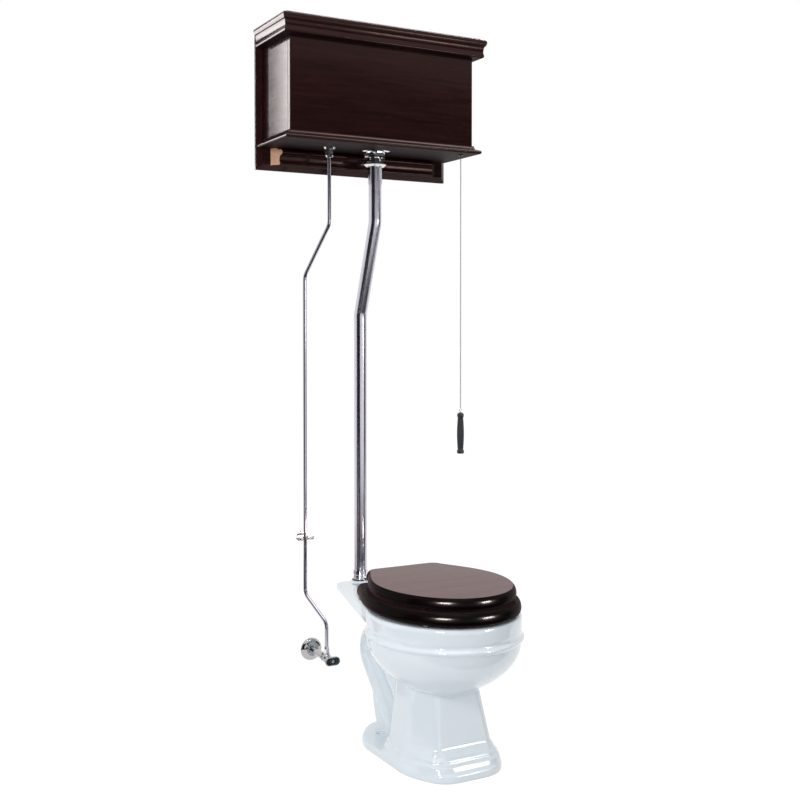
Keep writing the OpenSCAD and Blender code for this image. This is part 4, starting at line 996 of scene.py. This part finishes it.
def base_profile(out, h):
    return scaled([
        (0, 0), (0.8, 0), *arc(0.8, 0.22, 0.2, 0.22, -90, 15, 13),
        *arc(0.65, 1.0, 0.45, 0.48, -90, -7.5, 13), (0, 1),
    ], out, h)


def moulding_piece(name, node, body, profile, place, start, end, material):
    """A length of moulding: place turns (distance along, outwards, up) into a point, and start and
    end give the distance along where the moulding ends, as a function of how far out a point is."""
    rings = [[place(cut(o), o, u) for o, u in profile] for cut in (start, end)]
    mesh = mesh_from(name, *skin(rings), angle=38)
    return matt_under(piece(name, mesh, body, material, (node,)))


class TOILET_OT_tank_case(bpy.types.Operator):
    """Finishes the case, lid panel, wall board and ledger of the tank"""

    bl_idname = "toilet.tank_case"
    bl_label = "Tank case"

    def execute(self, context):
        ease = context.scene.toilet_wood.arris
        for node, along in (
            ("tank_front", "x"), ("tank_left", "y"), ("tank_right", "y"), ("tank_back", "x"),
            ("tank_floor", "x"), ("wall_board", "x"),
        ):
            matt_under(eased_copy(node, "base", mahogany(along), ease))
        eased_copy("tank_lid_panel", "tank_lid", mahogany("x"), ease)

        low, high = corners("ledger_moulding")
        ledger = moulding_piece(
            "ledger_wood", "ledger_moulding", "base",
            crown_profile(high.y - low.y, high.z - low.z),
            lambda x, o, u: (x, high.y - o, low.z + u),
            lambda o: o - high.x, lambda o: high.x - o, mahogany("x"),
        )
        second_finish(ledger, bare_wood(), lambda normal: normal.x < -0.5)
        return {"FINISHED"}


class TOILET_OT_mouldings(bpy.types.Operator):
    """Runs the crown and base mouldings round the tank, mitred at the corners"""

    bl_idname = "toilet.mouldings"
    bl_label = "Mouldings"

    def execute(self, context):
        runs = (
            ("crown", "tank_lid", crown_profile, 0.8, 0.5),
            ("base_moulding", "base", base_profile, 0.0, 0.0),
        )
        for kind, body, shape, clear, gap in runs:
            low, high = corners(kind + "_front")
            w = CASE_HIGH.x + clear
            front = CASE_LOW.y - clear
            wall = BOARD_LOW.y - gap
            profile = shape(front - low.y, high.z - low.z)
            foot_z = low.z
            moulding_piece(
                kind + "_front_wood", kind + "_front", body, profile,
                lambda x, o, u: (x, front - o, foot_z + u),
                lambda o: -w - o, lambda o: w + o, mahogany("x"),
            )
            for name, side in (("left", -1), ("right", 1)):
                moulding_piece(
                    f"{kind}_{name}_wood", f"{kind}_{name}", body, profile,
                    lambda y, o, u, side=side: (side * (w + o), y, foot_z + u),
                    lambda o: front - o, lambda o: wall, mahogany("y"),
                )
        return {"FINISHED"}


class TOILET_OT_tank_works(bpy.types.Operator):
    """Finishes the liner, the valves, the float and the lever inside the tank"""

    bl_idname = "toilet.tank_works"
    bl_label = "Tank works"

    def execute(self, context):
        dress(plain("liner_plastic", (0.72, 0.72, 0.66), 0.45), "tank_liner")
        dress(
            plated("brass"), "overflow_tube lift_guide lift_rod lever_bracket trip_lever "
            "fill_valve_body float_arm float_ball valve_plunger",
        )
        dress(rubber(), "flush_valve_washer tank_ball")
        dress(plated("aged"), "chain_bushing")
        return {"FINISHED"}


# Pipes

# The tap's oval face: half the distance between the centres of its ends, and their radius
TAP_HALF, TAP_END_R = 10, 9.4


class TOILET_OT_pipes(bpy.types.Operator):
    """Finishes the flush pipe, the supply and the stop valve"""

    bl_idname = "toilet.pipes"
    bl_label = "Pipes"

    def execute(self, context):
        dress(plated("satin"), "flush_pipe flush_tailpiece")
        dress(
            plated("chrome"), "flush_spud slip_nut flush_locknut flush_escutcheon fill_locknut "
            "supply_nut_top supply_nut_bottom pipe_bracket bracket_clip bracket_screws "
            "flush_valve_body",
        )
        dress(
            plated("valve"), "stop_valve_body packing_nut stop_stem wall_escutcheon stop_handle"
        )
        dress(plated("tube"), "supply_tube")
        dress(rubber(), "spud_bushing")
        low, high = corners("stop_handle")
        x, z = (low.x + high.x) / 2, (low.z + high.z) / 2
        rings = []
        for inset, depth in ((0, 1.9), (0, 0.9), (0.5, 0.45), (1.6, 0.25)):
            r = TAP_END_R - inset
            rings.append([
                (x + math.copysign(TAP_HALF, dx) + dx, low.y + depth, z + dz)
                for dx, dz in arc(0, 0, r, r, 3.75, 7.5, 48)
            ])
        enamel = plain("black_enamel", (0.006, 0.006, 0.007), 0.12, bump=0.02)
        piece("stop_face", mesh_from("stop_face", *skin(rings)), "stop_handle", enamel)
        return {"FINISHED"}


# Pull

STOP_R = 4
WIRE_R = 0.6


def bead_chain_tree():
    """Beads at an even spacing on a thin wire between two points."""
    tree, given = open_group(
        "bead_chain", "GeometryNodeTree", Foot=("Vector",), Top=("Vector",), Beads=("Int", 100),
        Bead_Radius=("Float", 0.002), Wire_Radius=("Float", 0.0006), Material=("Material",),
    )

    def made(kind, result, inputs, **settings):
        return grow(tree, "GeometryNode" + kind, inputs, **settings).outputs[result]

    line = made("CurvePrimitiveLine", "Curve", {"Start": given["Foot"], "End": given["Top"]})
    points = made(
        "CurveToPoints", "Points", {"Curve": line, "Count": given["Beads"]}, mode="COUNT"
    )
    ball = made(
        "MeshUVSphere", "Mesh", {"Segments": 10, "Rings": 7, "Radius": given["Bead Radius"]}
    )
    beads = made("InstanceOnPoints", "Instances", {"Points": points, "Instance": ball})
    ring = made(
        "CurvePrimitiveCircle", "Curve", {"Resolution": 8, "Radius": given["Wire Radius"]}
    )
    wire = made(
        "CurveToMesh", "Mesh", {"Curve": line, "Profile Curve": ring, "Fill Caps": True}
    )
    join = grow(tree, "GeometryNodeJoinGeometry")
    for part in (beads, wire):
        tree.links.new(part, join.inputs["Geometry"])
    real = made("RealizeInstances", "Geometry", {"Geometry": join.outputs["Geometry"]})
    finish = made("SetMaterial", "Geometry", {"Geometry": real, "Material": given["Material"]})
    return close_group(tree, Geometry=("Geometry", finish))


def built(tree, name, **values):
    """The mesh that a geometry tree makes from the values given."""
    obj = loose(name, bpy.data.meshes.new(name))
    build = obj.modifiers.new("build", "NODES")
    build.node_group = tree
    ids = {i.name: i.identifier for i in tree.interface.items_tree if i.in_out == "INPUT"}
    for key, value in values.items():
        build[ids[key.replace("_", " ").title()]] = value
    return taken(obj)


def handle_outline(low, r, h):
    """[radius, height] pairs of the grip between its two beads, up from its foot."""
    grip = [
        (0.78 + 0.2 * math.sin(math.radians(5 * k)), 0.1 + 0.76 * k / 36) for k in range(1, 34)
    ]
    points = scaled([
        *arc(0.86, 0.045, 0.14, 0.042, -60, 15, 9), (0.80, 0.1), *grip, (0.76, 0.87),
        *arc(0.8, 0.93, 0.13, 0.045, -60, 15, 9), (0.5, 1),
    ], r, h)
    points = [(0.01, 0), (r * 0.80, 0), (r * 0.86, 1), *points, (0.01, h)]
    return [(across, low + up) for across, up in points]


class TOILET_OT_pull(bpy.types.Operator):
    """Strings the bead chain and turns the fluted handle"""

    bl_idname = "toilet.pull"
    bl_label = "Pull chain and handle"

    def execute(self, context):
        s = context.scene.toilet_pull
        low, high = corners("pull_chain")
        x, y = (low.x + high.x) / 2, (low.y + high.y) / 2
        foot_z, top_z = (low.z + 1) * MM, (high.z - 2 * STOP_R) * MM
        mesh = built(
            bead_chain_tree(), "beads", foot=(x * MM, y * MM, foot_z + s.bead),
            top=(x * MM, y * MM, top_z), beads=int((top_z - foot_z) / s.pitch),
            bead_radius=s.bead, wire_radius=WIRE_R * MM, material=plated("chain"),
        )
        ball = arc(0.01, high.z - STOP_R, 3.9, 3.9, -90, 15, 13)
        stop = mesh_from("stop", *turned(ball, x, y, 24))
        with reworked(mesh) as both:
            both.from_mesh(stop)
        shade(mesh, 60)
        piece("bead_chain", mesh, "pull", plated("chain"), ("pull_chain",))

        low, high = corners("pull_handle")
        r, h = (high.x - low.x) / 2, high.z - low.z

        def fluted(q, z, a):
            share = (z - low.z) / h
            depth = 0.9 * max(0.0, min(1.0, (share - 0.11) / 0.04, (0.86 - share) / 0.04))
            return q - depth * (0.5 + 0.5 * math.cos(s.flutes * a)) ** 2

        sides = max(s.flutes, 6) * 8
        grip = turned(handle_outline(low.z, r, h), x, y, sides, fluted)
        mesh = mesh_from("grip", *grip, angle=60)
        finish = plain("moulded_handle", s.body, 0.34, scale=90.0, bump=0.15)
        piece("fluted_handle", mesh, "pull", finish, ("pull_handle",))
        dress(plated("chrome"), "handle_eye")
        return {"FINISHED"}


# Stage

LENS, LENS_SHIFT = 51.08, -0.05
CAMERA_AT = (-1.4679, -2.6333, 1.0762)
CAMERA_TURN = (88.67, 0, -28.93)
FLOOR_HALF = 9000
FLOOR_GLOW, FLOOR_SHARE = 1.12, 0.88


def lamp(name, place, target, size, power, tint=(1, 1, 1)):
    data = bpy.data.lights.new(name, "AREA")
    data.shape = "RECTANGLE"
    data.size, data.size_y = size
    data.energy = power
    data.color = tint
    obj = loose(name, data)
    obj.location = place
    obj.rotation_euler = (Vector(target) - Vector(place)).to_track_quat("-Z", "Y").to_euler()
    return obj


def for_gloss(light, *names):
    """Keeps a lamp to the gloss of the pieces whose names begin as given."""
    light.visible_diffuse = False
    lit = bpy.data.collections.new(light.name + "_lit")
    for obj in bpy.context.scene.objects:
        if obj.name.startswith(names):
            lit.objects.link(obj)
    light.light_linking.receiver_collection = lit


def seen_directly(tree):
    """One where a camera, glossy or transmitted ray looks at the background, and zero elsewhere."""
    path = grow(tree, "ShaderNodeLightPath").outputs
    value = path["Is Camera Ray"]
    for name in ("Is Glossy Ray", "Is Transmission Ray"):
        value = combined(tree, "MAXIMUM", value, path[name])
    return value


def emptied(holder):
    """The node tree of a world or a material, with nothing in it."""
    holder.use_nodes = True
    holder.node_tree.nodes.clear()
    return holder.node_tree


def mixed(tree, share, first, second):
    return grow(tree, "ShaderNodeMixShader", {0: share, 1: first, 2: second}).outputs[0]


def white_world(ambient):
    """Even light, and white wherever the background itself is seen."""
    world = bpy.data.worlds.new("studio")
    tree = emptied(world)
    inputs = {"Color": (0.97, 0.98, 1, 1), "Strength": ambient}
    even = grow(tree, "ShaderNodeBackground", inputs).outputs[0]
    white = grow(tree, "ShaderNodeBackground", {"Color": (1, 1, 1, 1)}).outputs[0]
    surface = mixed(tree, seen_directly(tree), even, white)
    grow(tree, "ShaderNodeOutputWorld", {"Surface": surface})
    return world


def pale_floor():
    """A matt floor that glows where it is seen, by FLOOR_GLOW over the share FLOOR_SHARE."""
    material = bpy.data.materials.new("pale_floor")
    tree = emptied(material)
    matt = grow(tree, "ShaderNodeBsdfDiffuse", {"Color": (0.8, 0.8, 0.8, 1)}).outputs[0]
    glow = grow(tree, "ShaderNodeEmission", {"Strength": FLOOR_GLOW}).outputs[0]
    share = combined(tree, "MULTIPLY", seen_directly(tree), FLOOR_SHARE)
    surface = mixed(tree, share, matt, glow)
    grow(tree, "ShaderNodeOutputMaterial", {"Surface": surface})
    return material


def flag(name, x0, y0, x1, y1, low, high, tint=(0.012, 0.012, 0.013)):
    """A matt flag of the studio, upright or flat, which only the gloss and the plating show."""
    verts = [(x0, y0, low), (x1, y1, low), (x1, y1, high), (x0, y0, high)]
    if low == high:
        verts = [(x0, y0, low), (x1, y0, low), (x1, y1, low), (x0, y1, low)]
    obj = loose(name, mesh_from(name, verts, [(0, 1, 2, 3)], smooth=False))
    obj.visible_camera = obj.visible_diffuse = obj.visible_shadow = obj.visible_transmission = False
    obj.data.materials.append(plain(name, tint, 0.9, bump=0.0))


class TOILET_OT_stage(bpy.types.Operator):
    """Sets the camera, the pale floor and the soft studio light"""

    bl_idname = "toilet.stage"
    bl_label = "Stage"

    def execute(self, context):
        s = context.scene.toilet_stage
        scene = context.scene
        scene.view_settings.view_transform = "Standard"
        data = bpy.data.cameras.new("view")
        data.sensor_width = 36
        data.lens = LENS
        data.shift_y = LENS_SHIFT
        data.clip_end = 60
        camera = loose("view", data)
        camera.location = CAMERA_AT
        camera.rotation_euler = [math.radians(angle) for angle in CAMERA_TURN]
        scene.camera = camera
        scene.world = white_world(s.ambient)

        h = FLOOR_HALF
        verts = [(-h, -h, 0), (h, -h, 0), (h, h, 0), (-h, h, 0)]
        floor = loose("floor", mesh_from("floor", verts, [(0, 1, 2, 3)], smooth=False))
        floor.data.materials.append(pale_floor())

        lamp("key", (-3.1, -1.3, 2.1), (0, -0.2, 0.6), (0.7, 0.9), s.key).visible_glossy = False
        lamp("fill", (1.75, -2.85, 1.3), (0, -0.2, 0.5), (0.6, 0.6), s.fill)
        for side, place in (("left", (-2.3, -2.4, 1.4)), ("right", (1.5, -3.0, 1.2))):
            for kind, pieces, wide, share, tint in (
                ("glaze", "china_bowl", 0.5, 0.8, (1, 1, 1)),
                ("lacquer", "seat_", 1.0, 20, (1, 0.88, 0.83)),
            ):
                glint = lamp(
                    f"{kind}_{side}", place, (0, -0.2, 0.5), (wide, 0.6), s.glint * share, tint
                )
                for_gloss(glint, pieces)
        lamp("top", (-0.4, -1.0, 4.2), (0, 0, 1.0), (2.4, 2.4), s.top)
        case = ("tank_", "crown_", "base_moulding_")
        for name, place, target, size, share, pieces in (
            ("edge", (-2.0, 2.8, 2.3), (-0.4, 0, 1.8), (1.1, 2.0), 1, case),
            ("crown", (1.2, 1.7, 3.5), (0, 0.1, 1.9), (1.0, 1.0), 0.4, case),
            ("over", (1.9, -1.8, 4.2), (0, 0, 1.6), (2.0, 1.6), 1, ("base_moulding_",)),
            ("margin", (-1.3, 2.9, 2.2), (-0.3, 0.3, 1.7), (1.0, 2.0), 1, ("wall_board",)),
        ):
            for_gloss(lamp(name, place, target, size, s.edge * share), *pieces)
        flag("upper_flag", -10500, -3600, 6500, -7000, 2150, 3500)
        flag("left_flag", -4940, 780, -2720, -4190, 0, 3500)
        flag("right_flag", 3280, -3770, 4940, -780, 0, 2150)
        flag("floor_flag", -3200, -3600, 3200, -600, 4, 4)
        flag("side_flag", -4800, -600, -1100, 600, 4, 4)
        flag("warm_flag", -1900, 750, -550, 2300, 3, 3, (0.60, 0.36, 0.38))
        flag("rear_flag", -1380, 2750, -300, 2750, 1900, 2900)
        return {"FINISHED"}


class TOILET_PT_panel(bpy.types.Panel):
    """Lists the pieces of the toilet and their settings"""

    bl_label = "High-level toilet"
    bl_idname = "TOILET_PT_panel"
    bl_space_type = "VIEW_3D"
    bl_region_type = "UI"
    bl_category = "Toilet"

    def draw(self, context):
        for name, group in SETTINGS.items():
            box = self.layout.box()
            settings = getattr(context.scene, name)
            for key in group.__annotations__:
                box.prop(settings, key)
        for operator in OPERATORS:
            self.layout.operator(operator.bl_idname)


SETTINGS = {
    "toilet_china": ChinaSettings,
    "toilet_wood": WoodSettings,
    "toilet_metal": MetalSettings,
    "toilet_pull": PullSettings,
    "toilet_stage": StageSettings,
}
OPERATORS = (
    TOILET_OT_bowl, TOILET_OT_seat, TOILET_OT_tank_case, TOILET_OT_mouldings,
    TOILET_OT_tank_works, TOILET_OT_pipes, TOILET_OT_pull, TOILET_OT_stage,
)


def register():
    for name, group in SETTINGS.items():
        bpy.utils.register_class(group)
        setattr(bpy.types.Scene, name, PointerProperty(type=group))
    for kind in (*OPERATORS, TOILET_PT_panel):
        bpy.utils.register_class(kind)


def unregister():
    for kind in reversed((*OPERATORS, TOILET_PT_panel)):
        bpy.utils.unregister_class(kind)
    for name, group in SETTINGS.items():
        delattr(bpy.types.Scene, name)
        bpy.utils.unregister_class(group)


def main():
    register()
    for operator in OPERATORS:
        family, name = operator.bl_idname.split(".")
        getattr(getattr(bpy.ops, family), name)()


if __name__ == "__main__":
    main()
